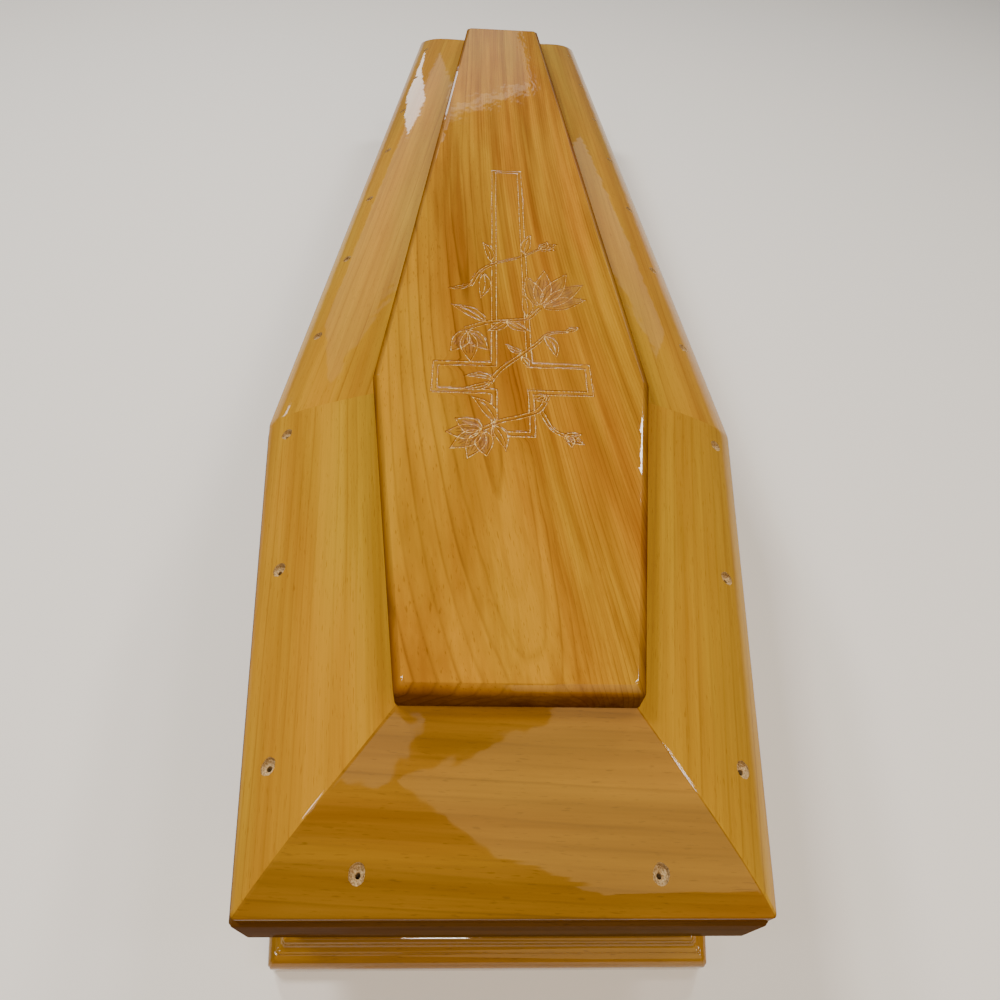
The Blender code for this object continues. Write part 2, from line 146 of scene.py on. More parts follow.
def colour(hex_value):
    """Linear RGBA from an sRGB hex value such as 'B8862E'."""
    parts = [int(hex_value[i:i + 2], 16) / 255 for i in (0, 2, 4)]
    linear = [c / 12.92 if c <= 0.04045 else ((c + 0.055) / 1.055) ** 2.4 for c in parts]
    return (*linear, 1.0)


print("Honey stain:", colour("B8862E"))

# %% A helper that adds a node


def add_node(tree, kind, inputs=None, **settings):
    """Add a node with its settings. Each input is given a value or a link."""
    node = tree.nodes.new(kind)
    for name, value in settings.items():
        setattr(node, name, value)
    for socket, value in (inputs or {}).items():
        if isinstance(value, bpy.types.NodeSocket):
            tree.links.new(value, node.inputs[socket])
        else:
            node.inputs[socket].default_value = value
    return node


trial = bpy.data.node_groups.new("trial", "ShaderNodeTree")
adder = add_node(trial, "ShaderNodeMath", {0: 2.0, 1: 3.0}, operation="ADD")
print("A trial node:", adder.bl_label, adder.operation, [i.default_value for i in adder.inputs[:2]])
bpy.data.node_groups.remove(trial)

# %% [markdown]
# The grain is built in metres in the log's own axes: x up the trunk, y and z
# across it. Two slow noises bend the trunk, so that no two arches match. A scale
# below is the number of clouds in a metre, up the trunk and across it, so 1000
# divided by it is the size of a cloud in millimetres.

# %% Clouds and bends in a log
LOG_BENDS = (0.9, 5.0, 5.0)          # 1100 by 200 mm
BEND_OF_LOG = 0.026
RING_WOBBLES = (4.0, 34.0, 34.0)     # 250 by 29 mm
WOBBLE_OF_RINGS = 0.0036


def cloud(tree, place, scale, detail=3.0, rough=0.6):
    """Soft clouds of a size of their own, per metre, in each of the log's axes."""
    drawn = add_node(tree, "ShaderNodeMapping", {"Vector": place, "Scale": scale})
    noise = add_node(
        tree, "ShaderNodeTexNoise",
        {"Vector": drawn.outputs[0], "Scale": 1.0, "Detail": detail, "Roughness": rough},
    )
    return noise.outputs


def bent(tree, place, scale, amount):
    """Push a place about by clouds of that scale, in metres."""
    push = cloud(tree, place, scale, 2.0, 0.5)["Color"]
    centred = add_node(
        tree, "ShaderNodeVectorMath", {0: push, 1: (0.5, 0.5, 0.5)}, operation="SUBTRACT"
    )
    pushed = add_node(
        tree, "ShaderNodeVectorMath", {0: centred.outputs[0], 1: (amount,) * 3, 2: place},
        operation="MULTIPLY_ADD",
    )
    return pushed.outputs[0]


print("A log bends by up to", BEND_OF_LOG * 500, "mm to each side")

# %% [markdown]
# The rings of this fast-grown softwood are about 9 mm apart. Most of each is pale
# early wood, and it ends in a narrow dark line of late wood. A wave would give
# soft, even stripes, so the distance from the heart is cut into years and a
# colour ramp draws each year. No two years are alike, so each has its strength.

# %% Rings of late wood
RING_WIDTH = 0.0086
LATE_WOOD_RAMP = ((0.0, 0.30), (0.07, 0.0), (0.55, 0.04), (0.80, 0.26), (0.93, 1.0), (1.0, 0.35))
WEAKEST_YEAR = 0.25


def late_wood(tree, trunk):
    """Dark line that ends each year's ring, from 0 to 1."""
    across = add_node(
        tree, "ShaderNodeVectorMath", {0: trunk, 1: (0.0, 1.0, 1.0)}, operation="MULTIPLY"
    )
    radius = add_node(tree, "ShaderNodeVectorMath", {0: across.outputs[0]}, operation="LENGTH")
    years = add_node(
        tree, "ShaderNodeMath", {0: radius.outputs["Value"], 1: RING_WIDTH}, operation="DIVIDE"
    )
    season = add_node(tree, "ShaderNodeMath", {0: years.outputs[0]}, operation="FRACT")
    line = add_node(tree, "ShaderNodeValToRGB", {0: season.outputs[0]})
    stops = line.color_ramp.elements
    while len(stops) < len(LATE_WOOD_RAMP):
        stops.new(0.5)
    for stop, (position, value) in zip(stops, LATE_WOOD_RAMP):
        stop.position, stop.color = position, (value, value, value, 1)
    year = add_node(tree, "ShaderNodeMath", {0: years.outputs[0]}, operation="FLOOR")
    luck = add_node(
        tree, "ShaderNodeTexWhiteNoise", {"W": year.outputs[0]}, noise_dimensions="1D"
    )
    strength = add_node(
        tree, "ShaderNodeMapRange", {"Value": luck.outputs["Value"], "To Min": WEAKEST_YEAR}
    )
    return add_node(
        tree, "ShaderNodeMath", {0: line.outputs[0], 1: strength.outputs[0]},
        operation="MULTIPLY",
    ).outputs[0]


print("A log 300 mm thick has", int(0.150 / RING_WIDTH), "rings of", RING_WIDTH * 1000, "mm")

# %% [markdown]
# The stain gives the wood its colour. It sinks into the early wood unevenly, so
# there are paler and deeper bands along the grain, and deeper patches. It gathers
# in the late wood and in the resin canals, which show as short dark dashes.

# %% Stain in the early wood
STAIN_BANDS = (1.1, 30.0, 30.0)      # 900 by 33 mm
STAIN_PATCHES = (3.2, 12.0, 12.0)    # 310 by 83 mm


def banded(tree, place, trunk, pale, deep):
    """Early wood with its bands and patches, and the patches for what follows."""
    bands = add_node(
        tree, "ShaderNodeMapRange",
        {"Value": cloud(tree, trunk, STAIN_BANDS, 4.0)[0], "From Min": 0.38, "From Max": 0.66},
    )
    wood = add_node(
        tree, "ShaderNodeMix", {0: bands.outputs[0], 6: pale, 7: deep}, data_type="RGBA"
    )
    patches = cloud(tree, place, STAIN_PATCHES)[0]
    depth = add_node(
        tree, "ShaderNodeMapRange",
        {"Value": patches, "From Min": 0.46, "From Max": 0.72, "To Max": 0.45},
    )
    wood = add_node(
        tree, "ShaderNodeMix", {0: depth.outputs[0], 6: wood.outputs[2], 7: deep},
        data_type="RGBA",
    )
    return wood.outputs[2], patches


print("Stain bands are", round(1000 / STAIN_BANDS[1]), "mm wide")

# %% Stain in the late wood and the resin canals
# A real canal is about 0.2 mm wide, too fine to show, so it is drawn coarser.
RESIN_CANALS = (75.0, 800.0, 800.0)  # 13 by 1.2 mm


def grained(tree, trunk, wood, late, patches, contrast):
    """Late wood, strongest where the stain sank in, and the resin canals."""
    reach = add_node(
        tree, "ShaderNodeMapRange",
        {
            "Value": patches, "From Min": 0.36, "From Max": 0.64,
            "To Min": 0.35 * contrast, "To Max": contrast,
        },
    )
    lines = add_node(
        tree, "ShaderNodeMath", {0: late_wood(tree, trunk), 1: reach.outputs[0]},
        operation="MULTIPLY",
    )
    wood = add_node(
        tree, "ShaderNodeMix", {0: lines.outputs[0], 6: wood, 7: late}, data_type="RGBA"
    )
    canals = add_node(
        tree, "ShaderNodeMapRange",
        {
            "Value": cloud(tree, trunk, RESIN_CANALS, 1.0, 0.5)[0],
            "From Min": 0.64, "From Max": 0.74, "To Max": 0.40,
        },
    )
    wood = add_node(
        tree, "ShaderNodeMix", {0: canals.outputs[0], 6: wood.outputs[2], 7: late},
        data_type="RGBA",
    )
    return wood.outputs[2]


print("Resin canals are drawn", round(1000 / RESIN_CANALS[0]), "mm long")

# %% Streaks of the fibres, and the drift of the stain's colour
# A real fibre is about 0.03 mm wide, too fine to show, so it is drawn coarser.
FIBRE_STREAKS = (6.0, 420.0, 420.0)  # 170 by 2.4 mm
STAIN_DRIFT = (1.6, 7.0, 7.0)        # 620 by 140 mm
OLIVE = "F8FFF4"                     # a faint cast: the stain looks greener here
ORANGE = "FFF4E8"                    # and warmer there


def toned(tree, place, wood, streaks):
    """Wood lightened and darkened by its fibres, and tinted by the stain's drift."""
    tone = add_node(
        tree, "ShaderNodeMapRange",
        {"Value": streaks, "From Min": 0.3, "From Max": 0.7, "To Min": 0.94, "To Max": 1.05},
    )
    wood = add_node(
        tree, "ShaderNodeMix", {0: 1.0, 6: wood, 7: tone.outputs[0]},
        data_type="RGBA", blend_type="MULTIPLY",
    )
    hue = add_node(
        tree, "ShaderNodeMapRange",
        {"Value": cloud(tree, place, STAIN_DRIFT, 2.0)[0], "From Min": 0.38, "From Max": 0.62},
    )
    cast = add_node(
        tree, "ShaderNodeMix", {0: hue.outputs[0], 6: colour(OLIVE), 7: colour(ORANGE)},
        data_type="RGBA",
    )
    wood = add_node(
        tree, "ShaderNodeMix", {0: 1.0, 6: wood.outputs[2], 7: cast.outputs[2]},
        data_type="RGBA", blend_type="MULTIPLY",
    )
    return wood.outputs[2]


def stained(tree, place, tints, contrast):
    """The whole stained wood, and the streaks that its fibres stand up by."""
    pale, deep, late = (colour(tint) for tint in tints)
    trunk = bent(tree, place, LOG_BENDS, BEND_OF_LOG)
    trunk = bent(tree, trunk, RING_WOBBLES, WOBBLE_OF_RINGS)
    wood, patches = banded(tree, place, trunk, pale, deep)
    wood = grained(tree, trunk, wood, late, patches, contrast)
    streaks = cloud(tree, trunk, FIBRE_STREAKS)[0]
    return toned(tree, place, wood, streaks), streaks


print("Fibre streaks are drawn", round(1000 / FIBRE_STREAKS[1], 1), "mm wide")

# %% [markdown]
# In the carving, each cut's lips are painted dark as shade, and its middle
# golden as a painted highlight. The cutter chattered along the bottom, and its
# ripples there are beaded with pale spots, painted as glints. Painted pale lines
# would look flat, so the colours follow the depth that is written on the mesh.

# %% Painted shade, highlight and glints in the cuts
# Real ripples are about 0.5 mm long, too fine to show, so they are drawn coarser.
# The same noise places the painted glints.
CHATTER_AND_GLINT_SCALE = (340.0, 340.0, 340.0)  # 3 mm
# A cut's lips are painted dark as shade, its middle golden as a painted highlight, and pale spots on
# its ripples as painted glints.
CUT_LIP_SHADE = "6E3C0A"
CUT_MIDDLE_HIGHLIGHT = "D89C30"
CUT_GLINT = "FFF0A4"


def carved(tree, wood, cut, ripples_and_glints):
    """Painted shade at the lips of the cuts, and a painted highlight with painted glints in their
    middle, over the stained wood.
    """
    lip = add_node(tree, "ShaderNodeMapRange", {"Value": cut, "From Max": 0.25})
    lip_shaded = add_node(
        tree, "ShaderNodeMix", {0: lip.outputs[0], 6: wood, 7: colour(CUT_LIP_SHADE)},
        data_type="RGBA",
    )
    middle = add_node(
        tree, "ShaderNodeMapRange", {"Value": cut, "From Min": 0.5, "From Max": 0.95}
    )
    highlighted = add_node(
        tree, "ShaderNodeMix",
        {0: middle.outputs[0], 6: lip_shaded.outputs[2], 7: colour(CUT_MIDDLE_HIGHLIGHT)},
        data_type="RGBA",
    )
    glint_spots = add_node(tree, "ShaderNodeMapRange", {"Value": ripples_and_glints, "From Min": 0.5, "From Max": 0.6})
    glint_spots = add_node(
        tree, "ShaderNodeMath", {0: glint_spots.outputs[0], 1: middle.outputs[0]}, operation="MULTIPLY"
    )
    glints = add_node(
        tree, "ShaderNodeMix", {0: glint_spots.outputs[0], 6: highlighted.outputs[2], 7: colour(CUT_GLINT)},
        data_type="RGBA",
    )
    return glints.outputs[2]


# Colours of the painted shade, the painted highlight and the painted glints in a cut.
print("Stain at the lip of a cut:", CUT_LIP_SHADE, "in its middle:", CUT_MIDDLE_HIGHLIGHT, "beads:", CUT_GLINT)

# %% [markdown]
# Over the stain lies a thick clear lacquer. It gives a sharp reflection with the
# slow waviness of sprayed lacquer, about 50 mm from wave to wave, so lights show
# in it with soft, bent edges. A coat over the shader does this, with a bump of
# its own, while the wood below keeps its fibres. The ripples in a cut are too
# rough for the lacquer to level, so they come through it and sparkle.

# %% Bumps of the fibres and of the lacquer
LACQUER_WAVES = (16.0, 22.0, 22.0)   # 62 by 45 mm
LACQUER_WAVE_HEIGHT = 0.0004
FIBRE_HEIGHT = 0.0005
STREAKS_IN_FIBRES = 0.15
CHATTER_THROUGH_LACQUER = 4.0


def bumped(tree, shader, place, streaks, chatter):
    """One bump for the wood, and one for the lacquer over it."""
    fibres = add_node(
        tree, "ShaderNodeMath", {0: streaks, 1: STREAKS_IN_FIBRES, 2: chatter},
        operation="MULTIPLY_ADD",
    )
    bump = add_node(
        tree, "ShaderNodeBump",
        {"Strength": 1.0, "Distance": FIBRE_HEIGHT, "Height": fibres.outputs[0]},
    )
    tree.links.new(bump.outputs["Normal"], shader.inputs["Normal"])
    peel = cloud(tree, place, LACQUER_WAVES, 2.0)[0]
    film = add_node(
        tree, "ShaderNodeMath", {0: chatter, 1: CHATTER_THROUGH_LACQUER, 2: peel},
        operation="MULTIPLY_ADD",
    )
    wave = add_node(
        tree, "ShaderNodeBump",
        {"Strength": 1.0, "Distance": LACQUER_WAVE_HEIGHT, "Height": film.outputs[0]},
    )
    tree.links.new(wave.outputs["Normal"], shader.inputs["Coat Normal"])


print("Lacquer waves are", round(1000 / LACQUER_WAVES[1]), "mm wide")

# %% [markdown]
# Sawn edges and the bottoms of the cuts drink the lacquer, so it is thin there
# and they are duller than the faces. Two numbers on the mesh say where: "edge" is
# 1 on a sawn edge, and "cut" is 1 at the bottom of a cut.

# %% The lacquer, thick or thin
LACQUER_IOR = 1.5
LACQUER_ROUGHNESS = 0.04
WOOD_ROUGHNESS = 0.5
BARE_IN_CUTS = 0.75
EDGE_POWER = 4.0


def lacquer(tree, shader, cut, edge, coat):
    """A clear coat over the wood, thin where the wood drank it."""
    shader.inputs["Roughness"].default_value = WOOD_ROUGHNESS
    shader.inputs["IOR"].default_value = LACQUER_IOR
    shader.inputs["Specular IOR Level"].default_value = 0.0
    bare = add_node(tree, "ShaderNodeMath", {0: cut, 1: BARE_IN_CUTS}, operation="MULTIPLY")
    sawn = add_node(tree, "ShaderNodeMath", {0: edge, 1: EDGE_POWER}, operation="POWER")
    bare = add_node(
        tree, "ShaderNodeMath", {0: sawn.outputs[0], 1: bare.outputs[0]}, operation="MAXIMUM"
    )
    thin = add_node(
        tree, "ShaderNodeMapRange", {"Value": bare.outputs[0], "To Min": coat, "To Max": 0.0}
    )
    tree.links.new(thin.outputs[0], shader.inputs["Coat Weight"])
    shader.inputs["Coat Roughness"].default_value = LACQUER_ROUGHNESS
    shader.inputs["Coat IOR"].default_value = LACQUER_IOR


print("Lacquer left in a cut:", round((1 - BARE_IN_CUTS) * 100), "%")

# %% [markdown]
# Every visible board has this one finish. They differ in their tints, which on the
# head board and the band are darkened as painted shade, in how strongly their
# rings show, and in the band's thin lacquer.

# %% Stained and lacquered softwood
EDGE_STAIN_AND_SHADE = "AE9E9C"                 # multiplies the wood on sawn edges: partly stain that they drink, partly painted shade


def lacquered_wood(name, tints, contrast, coat=1.0):
    """Softwood in its pale, deep and late-wood tints, under a coat of lacquer."""
    material = bpy.data.materials.new(name)
    material.use_nodes = True
    tree = material.node_tree
    shader = tree.nodes["Principled BSDF"]
    place = add_node(tree, "ShaderNodeAttribute", attribute_name="wood").outputs["Vector"]
    cut = add_node(tree, "ShaderNodeAttribute", attribute_name="cut").outputs["Fac"]
    edge = add_node(tree, "ShaderNodeAttribute", attribute_name="edge").outputs["Fac"]
    cutter = add_node(tree, "ShaderNodeAttribute", attribute_name="chatter").outputs["Fac"]
    ripples_and_glints = cloud(tree, place, CHATTER_AND_GLINT_SCALE, 2.0)[0]
    wood, streaks = stained(tree, place, tints, contrast)
    # Sawn edges are darkened, partly as drunk stain and partly as painted shade; the cuts get
    # painted shade, a painted highlight and painted glints.
    wood = add_node(
        tree, "ShaderNodeMix", {0: edge, 6: carved(tree, wood, cut, ripples_and_glints), 7: colour(EDGE_STAIN_AND_SHADE)},
        data_type="RGBA", blend_type="MULTIPLY",
    )
    tree.links.new(wood.outputs[2], shader.inputs["Base Color"])
    chatter = add_node(tree, "ShaderNodeMath", {0: ripples_and_glints, 1: cutter}, operation="MULTIPLY")
    bumped(tree, shader, place, streaks, chatter.outputs[0])
    lacquer(tree, shader, cut, edge, coat)
    return material


# The lid's slopes: honey gold with faint wide arches, bright under thick lacquer.
LID_WOOD = lacquered_wood("lacquered_softwood_lid", ("BB8C20", "A27214", "76460A"), 0.55)
# The head board: the lid's wood painted darker and browner than the slopes, as painted shade.
HEAD_WOOD_PAINTED_SHADE = lacquered_wood("lacquered_softwood_head_board_painted_shade", ("9C6C16", "84580E", "5E3E0A"), 0.5)
# The top board: the boldest figure, fine dark rings and one long arch on gold.
TOP_WOOD = lacquered_wood("lacquered_softwood_top_board", ("B8831C", "8C580C", "663A08"), 0.9)
# The band: painted dark brown as shade, and nearly dull, with hardly any lacquer on it.
BAND_WOOD_PAINTED_SHADE = lacquered_wood("lacquered_softwood_band_painted_shade", ("62421C", "4E3314", "36200A"), 0.4, 0.04)
# The plinth: warm brown, and glossy enough for its mouldings to catch the light.
PLINTH_WOOD = lacquered_wood("lacquered_softwood_plinth", ("A4741E", "885E14", "5A3609"), 0.5)
# The walls and the floor board: plain gold with quiet rings.
WALL_WOOD = lacquered_wood("lacquered_softwood_wall", ("A87418", "8F5F10", "6A3E08"), 0.5)
print("Lacquered woods:", LID_WOOD.name, TOP_WOOD.name, BAND_WOOD_PAINTED_SHADE.name, WALL_WOOD.name)

# %% [markdown]
# The drill goes through the lacquer and the stain, and leaves raw wood with a
# torn, fibrous face. It is matt and pale, so each hole reads as a light ring
# round a dark pilot hole.

# %% Raw drilled wood
# Torn fibres are about 0.1 mm thick, too fine to show, so they are drawn coarser.
TORN_FIBRES = (700.0, 700.0, 250.0)  # 1.4 by 4 mm
TORN_SHADE = "8A6636"
TORN_LIGHT = "E0C692"
TORN_HEIGHT = 0.0008
TORN_STRENGTH = 0.8
RAW_ROUGHNESS = 0.85


def raw_wood():
    """Pale fibrous wood where the drill tore it."""
    material = bpy.data.materials.new("raw_drilled_wood")
    material.use_nodes = True
    tree = material.node_tree
    shader = tree.nodes["Principled BSDF"]
    place = add_node(tree, "ShaderNodeTexCoord").outputs["Object"]
    torn = cloud(tree, place, TORN_FIBRES, 3.0, 0.7)[0]
    shade = add_node(
        tree, "ShaderNodeMapRange", {"Value": torn, "From Min": 0.35, "From Max": 0.65}
    )
    wood = add_node(
        tree, "ShaderNodeMix",
        {0: shade.outputs[0], 6: colour(TORN_SHADE), 7: colour(TORN_LIGHT)}, data_type="RGBA",
    )
    tree.links.new(wood.outputs[2], shader.inputs["Base Color"])
    bump = add_node(
        tree, "ShaderNodeBump",
        {"Strength": TORN_STRENGTH, "Distance": TORN_HEIGHT, "Height": torn},
    )
    tree.links.new(bump.outputs["Normal"], shader.inputs["Normal"])
    shader.inputs["Roughness"].default_value = RAW_ROUGHNESS
    return material


RAW_WOOD = raw_wood()
print("Raw wood:", RAW_WOOD.name)

# %% [markdown]
# ## Boards
#
# A mitred board is its section carried along one side of the plan. Real edges
# are never sharp: a maker eases each one with sandpaper, and lacquer builds up on
# it, which is what catches the light. So each section's corners are turned into
# small arcs before it is carried along.

# %% Ease the corners of a section
EASED = 0.0012
SHARP_TURN = math.radians(28)
EASE_REACH = 0.45


def eased(section, radius=EASED, wide=None, steps=4):
    """Turn each sharp corner of a closed section into a small arc.

    wide gives some corners, by their index, a radius of their own. An arc takes
    up less than half of the straight on each side of it.
    """
    points = [Vector(point) for point in section]
    result = []
    for i, point in enumerate(points):
        before = points[i - 1] - point
        after = points[(i + 1) % len(points)] - point
        turn = math.pi - before.angle(after)
        if turn < SHARP_TURN:
            result.append(point)
            continue
        own = (wide or {}).get(i, radius)
        shorter = min(before.length, after.length)
        reach = min(own * math.tan(turn / 2), shorter * EASE_REACH)
        start = point + before.normalized() * reach
        end = point + after.normalized() * reach
        for k in range(steps + 1):
            t = k / steps
            result.append(start * (1 - t) ** 2 + point * 2 * t * (1 - t) + end * t ** 2)
    return [tuple(point) for point in result]


SQUARE = [(0, 0), (1, 0), (1, 1), (0, 1)]
print("A square has", len(eased(SQUARE)), "points once eased")

# %% [markdown]
# Where two boards meet, sandpaper and lacquer have rounded the ridge, so no dark
# line shows there. Near the mitre each board's surface is let down a little, and
# curves until it faces half-way between the two boards.

# %% Outward normals of a section


def section_normals(section):
    """Outward unit normal at each point of a closed section."""
    points = [Vector(point) for point in section]
    turned = 0.0
    for a, b in zip(points, points[1:] + points[:1]):
        turned += a.x * b.y - b.x * a.y
    sign = 1.0 if turned > 0 else -1.0
    normals = []
    for i, point in enumerate(points):
        arriving = (point - points[i - 1]).normalized()
        leaving = (points[(i + 1) % len(points)] - point).normalized()
        run = arriving + leaving
        normals.append(Vector((run.y, -run.x)).normalized() * sign)
    return normals


print("At a square's first corner the normal is", section_normals(SQUARE)[0])

# %% Carry a section along a side
MITRE_GAP = 0.00004
RIDGE_ROUND = 0.004
RIDGE_STEPS = 5
FACES_INWARD = 0.05


def no_drift(inset):
    """The body is centred at every inset."""
    return Vector((0.0, 0.0))


def let_down(index, normal, distance):
    """How far a point is let down, this far along the board from its mitre.

    Points whose normal faces the inside of the coffin stay where they are.
    """
    if normal.x > FACES_INWARD or distance >= RIDGE_ROUND:
        return 0.0
    facing = inward(index - 1).dot(inward(index))
    between = math.acos(max(-1.0, min(1.0, normal.x ** 2 * facing + normal.y ** 2)))
    slope = math.tan(between / 2)
    return slope * RIDGE_ROUND / 2 * (1 - distance / RIDGE_ROUND) ** 2


def board_mesh(side, section, drift):
    """Section carried along one side, mitred and rounded at both ends."""
    normals = section_normals(section)
    distances = [RIDGE_ROUND * k / RIDGE_STEPS for k in range(RIDGE_STEPS + 1)]
    bm = bmesh.new()
    rings = []
    for end in (0, 1):
        index = side + end
        mitre = (inward(index - 1) + inward(index)).normalized()
        clearance = MITRE_GAP / 2 / inward(side).dot(mitre)
        for distance in distances if end == 0 else distances[::-1]:
            shift = along(side) * (clearance + distance) * (1 - 2 * end)
            ring = []
            for (inset, height), normal in zip(section, normals):
                down = let_down(index, normal, distance)
                deeper = inset - normal.x * down
                place = corner(index, deeper) + drift(deeper) + shift
                ring.append(bm.verts.new((place.x, place.y, height - normal.y * down)))
            rings.append(ring)
    for first, second in zip(rings, rings[1:]):
        for i in range(len(section)):
            j = (i + 1) % len(section)
            bm.faces.new((first[i], first[j], second[j], second[i]))
    bm.faces.new(rings[0])
    bm.faces.new(rings[-1][::-1])
    bmesh.ops.recalc_face_normals(bm, faces=bm.faces)
    mesh = bpy.data.meshes.new("board")
    bm.to_mesh(mesh)
    bm.free()
    return mesh


ridge_drop = let_down(1, Vector((-1, 0)), 0)
print("An upright board is let down", round(ridge_drop * 1000, 2), "mm at the shoulder's ridge")

# %% [markdown]
# Each board was sawn from its own place in its own log. A board's axes and a
# seeded random place of the heart are written on its points as the attribute
# "wood", and the grain above reads it, so the figure turns with the board, runs
# on over its edges and shows end grain where the board is cut across.

# %% Give a board its place in a log
SAWMILL = np.random.default_rng(11)
UP_THE_LOG = (0.0, 8.0)
BESIDE_THE_HEART = (0.05, 0.16)
ABOVE_THE_HEART = (0.03, 0.09)


def write_wood(mesh, origin, axes, heart, lean=(0.0, 0.0), crook=None):
    """Write each point's place in the log, in metres, as the attribute 'wood'.

    lean tips the log against the board, and crook may bend it first.
    """
    places = np.empty(len(mesh.vertices) * 3)
    mesh.vertices.foreach_get("co", places)
    local = (places.reshape(-1, 3) - np.array(origin)) @ np.array(axes).T
    if crook:
        local = crook(local)
    local[:, 1] += lean[0] * local[:, 0]
    local[:, 2] += lean[1] * local[:, 0]
    local += np.array(heart)
    attribute = mesh.attributes.new("wood", "FLOAT_VECTOR", "POINT")
    attribute.data.foreach_set("vector", local.astype(np.float32).ravel())


def random_heart():
    """A seeded place in a log: how far up it, and how far beside and above its heart."""
    return (
        SAWMILL.uniform(*UP_THE_LOG),
        SAWMILL.uniform(*BESIDE_THE_HEART),
        SAWMILL.uniform(*ABOVE_THE_HEART),
    )


def board_axes(side, tilt):
    """A board's own axes: along it, across its face, and through it."""
    run = along(side).to_3d()
    into = inward(side).to_3d()
    up = Vector((0, 0, 1))
    across = into * math.cos(tilt) + up * math.sin(tilt)
    through = up * math.cos(tilt) - into * math.sin(tilt)
    return [tuple(run), tuple(across), tuple(through)]


print("Up the log of the first board:", [round(c, 3) for c in board_axes(0, 0.0)[0]])

# %% Write on a mesh, and finish a piece
SMOOTH_BELOW = math.radians(32)


def write_share(mesh, name, shares):
    """Write one number from 0 to 1 on each point."""
    attribute = mesh.attributes.new(name, "FLOAT", "POINT")
    attribute.data.foreach_set("value", np.clip(shares, 0, 1).astype(np.float32))


def heights(mesh):
    """Height of each point."""
    places = np.empty(len(mesh.vertices) * 3)
    mesh.vertices.foreach_get("co", places)
    return places[2::3]


def finish_piece(name, mesh, materials, slot):
    """Shade a mesh, ride it on the body and let it stand for its CAD node."""
    mesh.name = name
    for material in materials:
        if material.name not in mesh.materials:
            mesh.materials.append(material)
    mesh.shade_smooth()
    mesh.set_sharp_from_angle(angle=SMOOTH_BELOW)
    piece = bpy.data.objects.new(name + "_look", mesh)
    bpy.context.scene.collection.objects.link(piece)
    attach(piece, "root")
    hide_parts(name)


print("Edges that turn less than", round(math.degrees(SMOOTH_BELOW)), "degrees are shaded smooth")

# %% [markdown]
# ## The body
#
# The floor board and the walls are plain planed boards. The band under the lid
# and the plinth moulding round the foot are run on a moulding cutter, so their
# sections are straight lines and arcs, from the same real sizes as the solids.

# %% Arcs for the moulding sections
LID_EDGE = 0.020
GAP = 0.0003
RIM_HEIGHT = head_low.z + LID_EDGE
WALL_INSET = 0.016
WALL_THICKNESS = 0.020
WALL_TOP = head_low.z - GAP
FLOOR_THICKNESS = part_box("floor_board")[1].z


def arc(centre, radii, start, end, steps=8):
    """Points of an elliptical arc in the (inset, height) plane, angles in degrees."""
    points = []
    for k in range(steps + 1):
        angle = math.radians(start + (end - start) * k / steps)
        inset = centre[0] + radii[0] * math.cos(angle)
        height = centre[1] + radii[1] * math.sin(angle)
        points.append((inset, height))
    return points


print("Wall top at", round(WALL_TOP, 4), "rim at", round(RIM_HEIGHT, 4))

# %% Sections of the wall, the band and the plinth
BAND_HEIGHT = 0.080
BAND_PROUD = 0.0025
BAND_EDGE_ROUND = 0.003
BAND_FOOT_ROUND = 0.008
PLINTH_PROUD = 0.012
PLINTH_FOOT_HEIGHT = 0.026
PLINTH_OVOLO_HEIGHT = 0.015
PLINTH_STEP_PROUD = 0.001
PLINTH_STEP_HEIGHT = 0.0015
PLINTH_COVE_HEIGHT = 0.0075
PLINTH_COVE_INSET = 0.006
PLINTH_BEAD_RADIUS = 0.0045


def wall_section():
    """Plain board on edge, standing on the floor board."""
    inner = WALL_INSET + WALL_THICKNESS
    foot = FLOOR_THICKNESS + GAP
    return [(WALL_INSET, foot), (inner, foot), (inner, WALL_TOP), (WALL_INSET, WALL_TOP)]


def band_section():
    """Facing strip under the lid, round at its upper edge and its foot."""
    back = WALL_INSET - GAP
    face = -BAND_PROUD
    foot = WALL_TOP - BAND_HEIGHT
    edge = BAND_EDGE_ROUND
    turn = BAND_FOOT_ROUND
    upper = arc((face + edge, WALL_TOP - edge), (edge, edge), 90, 180, 6)
    lower = arc((face + turn, foot + turn), (turn, turn), 180, 270)
    return [(back, foot), (back, WALL_TOP)] + upper + lower


def plinth_section():
    """A square foot, an ovolo, a step, a cove and a bead, from the ground up."""
    back = WALL_INSET - GAP
    step = -PLINTH_STEP_PROUD
    ovolo_top = PLINTH_FOOT_HEIGHT + PLINTH_OVOLO_HEIGHT
    cove_foot = ovolo_top + PLINTH_STEP_HEIGHT
    cove_top = cove_foot + PLINTH_COVE_HEIGHT
    radius = PLINTH_BEAD_RADIUS
    ovolo = arc((step, PLINTH_FOOT_HEIGHT), (step + PLINTH_PROUD, PLINTH_OVOLO_HEIGHT), 180, 90)
    cove = arc((step, cove_top), (PLINTH_COVE_INSET - step, PLINTH_COVE_HEIGHT), 270, 360)
    bead = arc((PLINTH_COVE_INSET + radius, cove_top), (radius, radius), 180, 90)
    foot = [(back, 0.0), (-PLINTH_PROUD, 0.0)]
    return foot + ovolo + cove + bead[1:] + [(back, cove_top + radius)]


print("Plinth section has", len(plinth_section()), "points")

# %% Make the walls, the bands and the plinth
UPRIGHT = math.pi / 2
BODY_LEAN = (0.0, 0.01)

# The band's wood is painted dark brown as shade.
for side, side_name in enumerate(SIDES):
    for kind, section, material, slot in (
        ("wall_", wall_section(), WALL_WOOD, "body_wood"),
        ("band_", band_section(), BAND_WOOD_PAINTED_SHADE, "moulding_wood"),
        ("plinth_", plinth_section(), PLINTH_WOOD, "moulding_wood"),
    ):
        mesh = board_mesh(side, eased(section), no_drift)
        write_wood(mesh, RIM[side].to_3d(), board_axes(side, UPRIGHT), random_heart(), BODY_LEAN)
        finish_piece(kind + side_name, mesh, [material], slot)
print("Made", 3 * len(SIDES), "boards of the body")

# %% Make the floor board


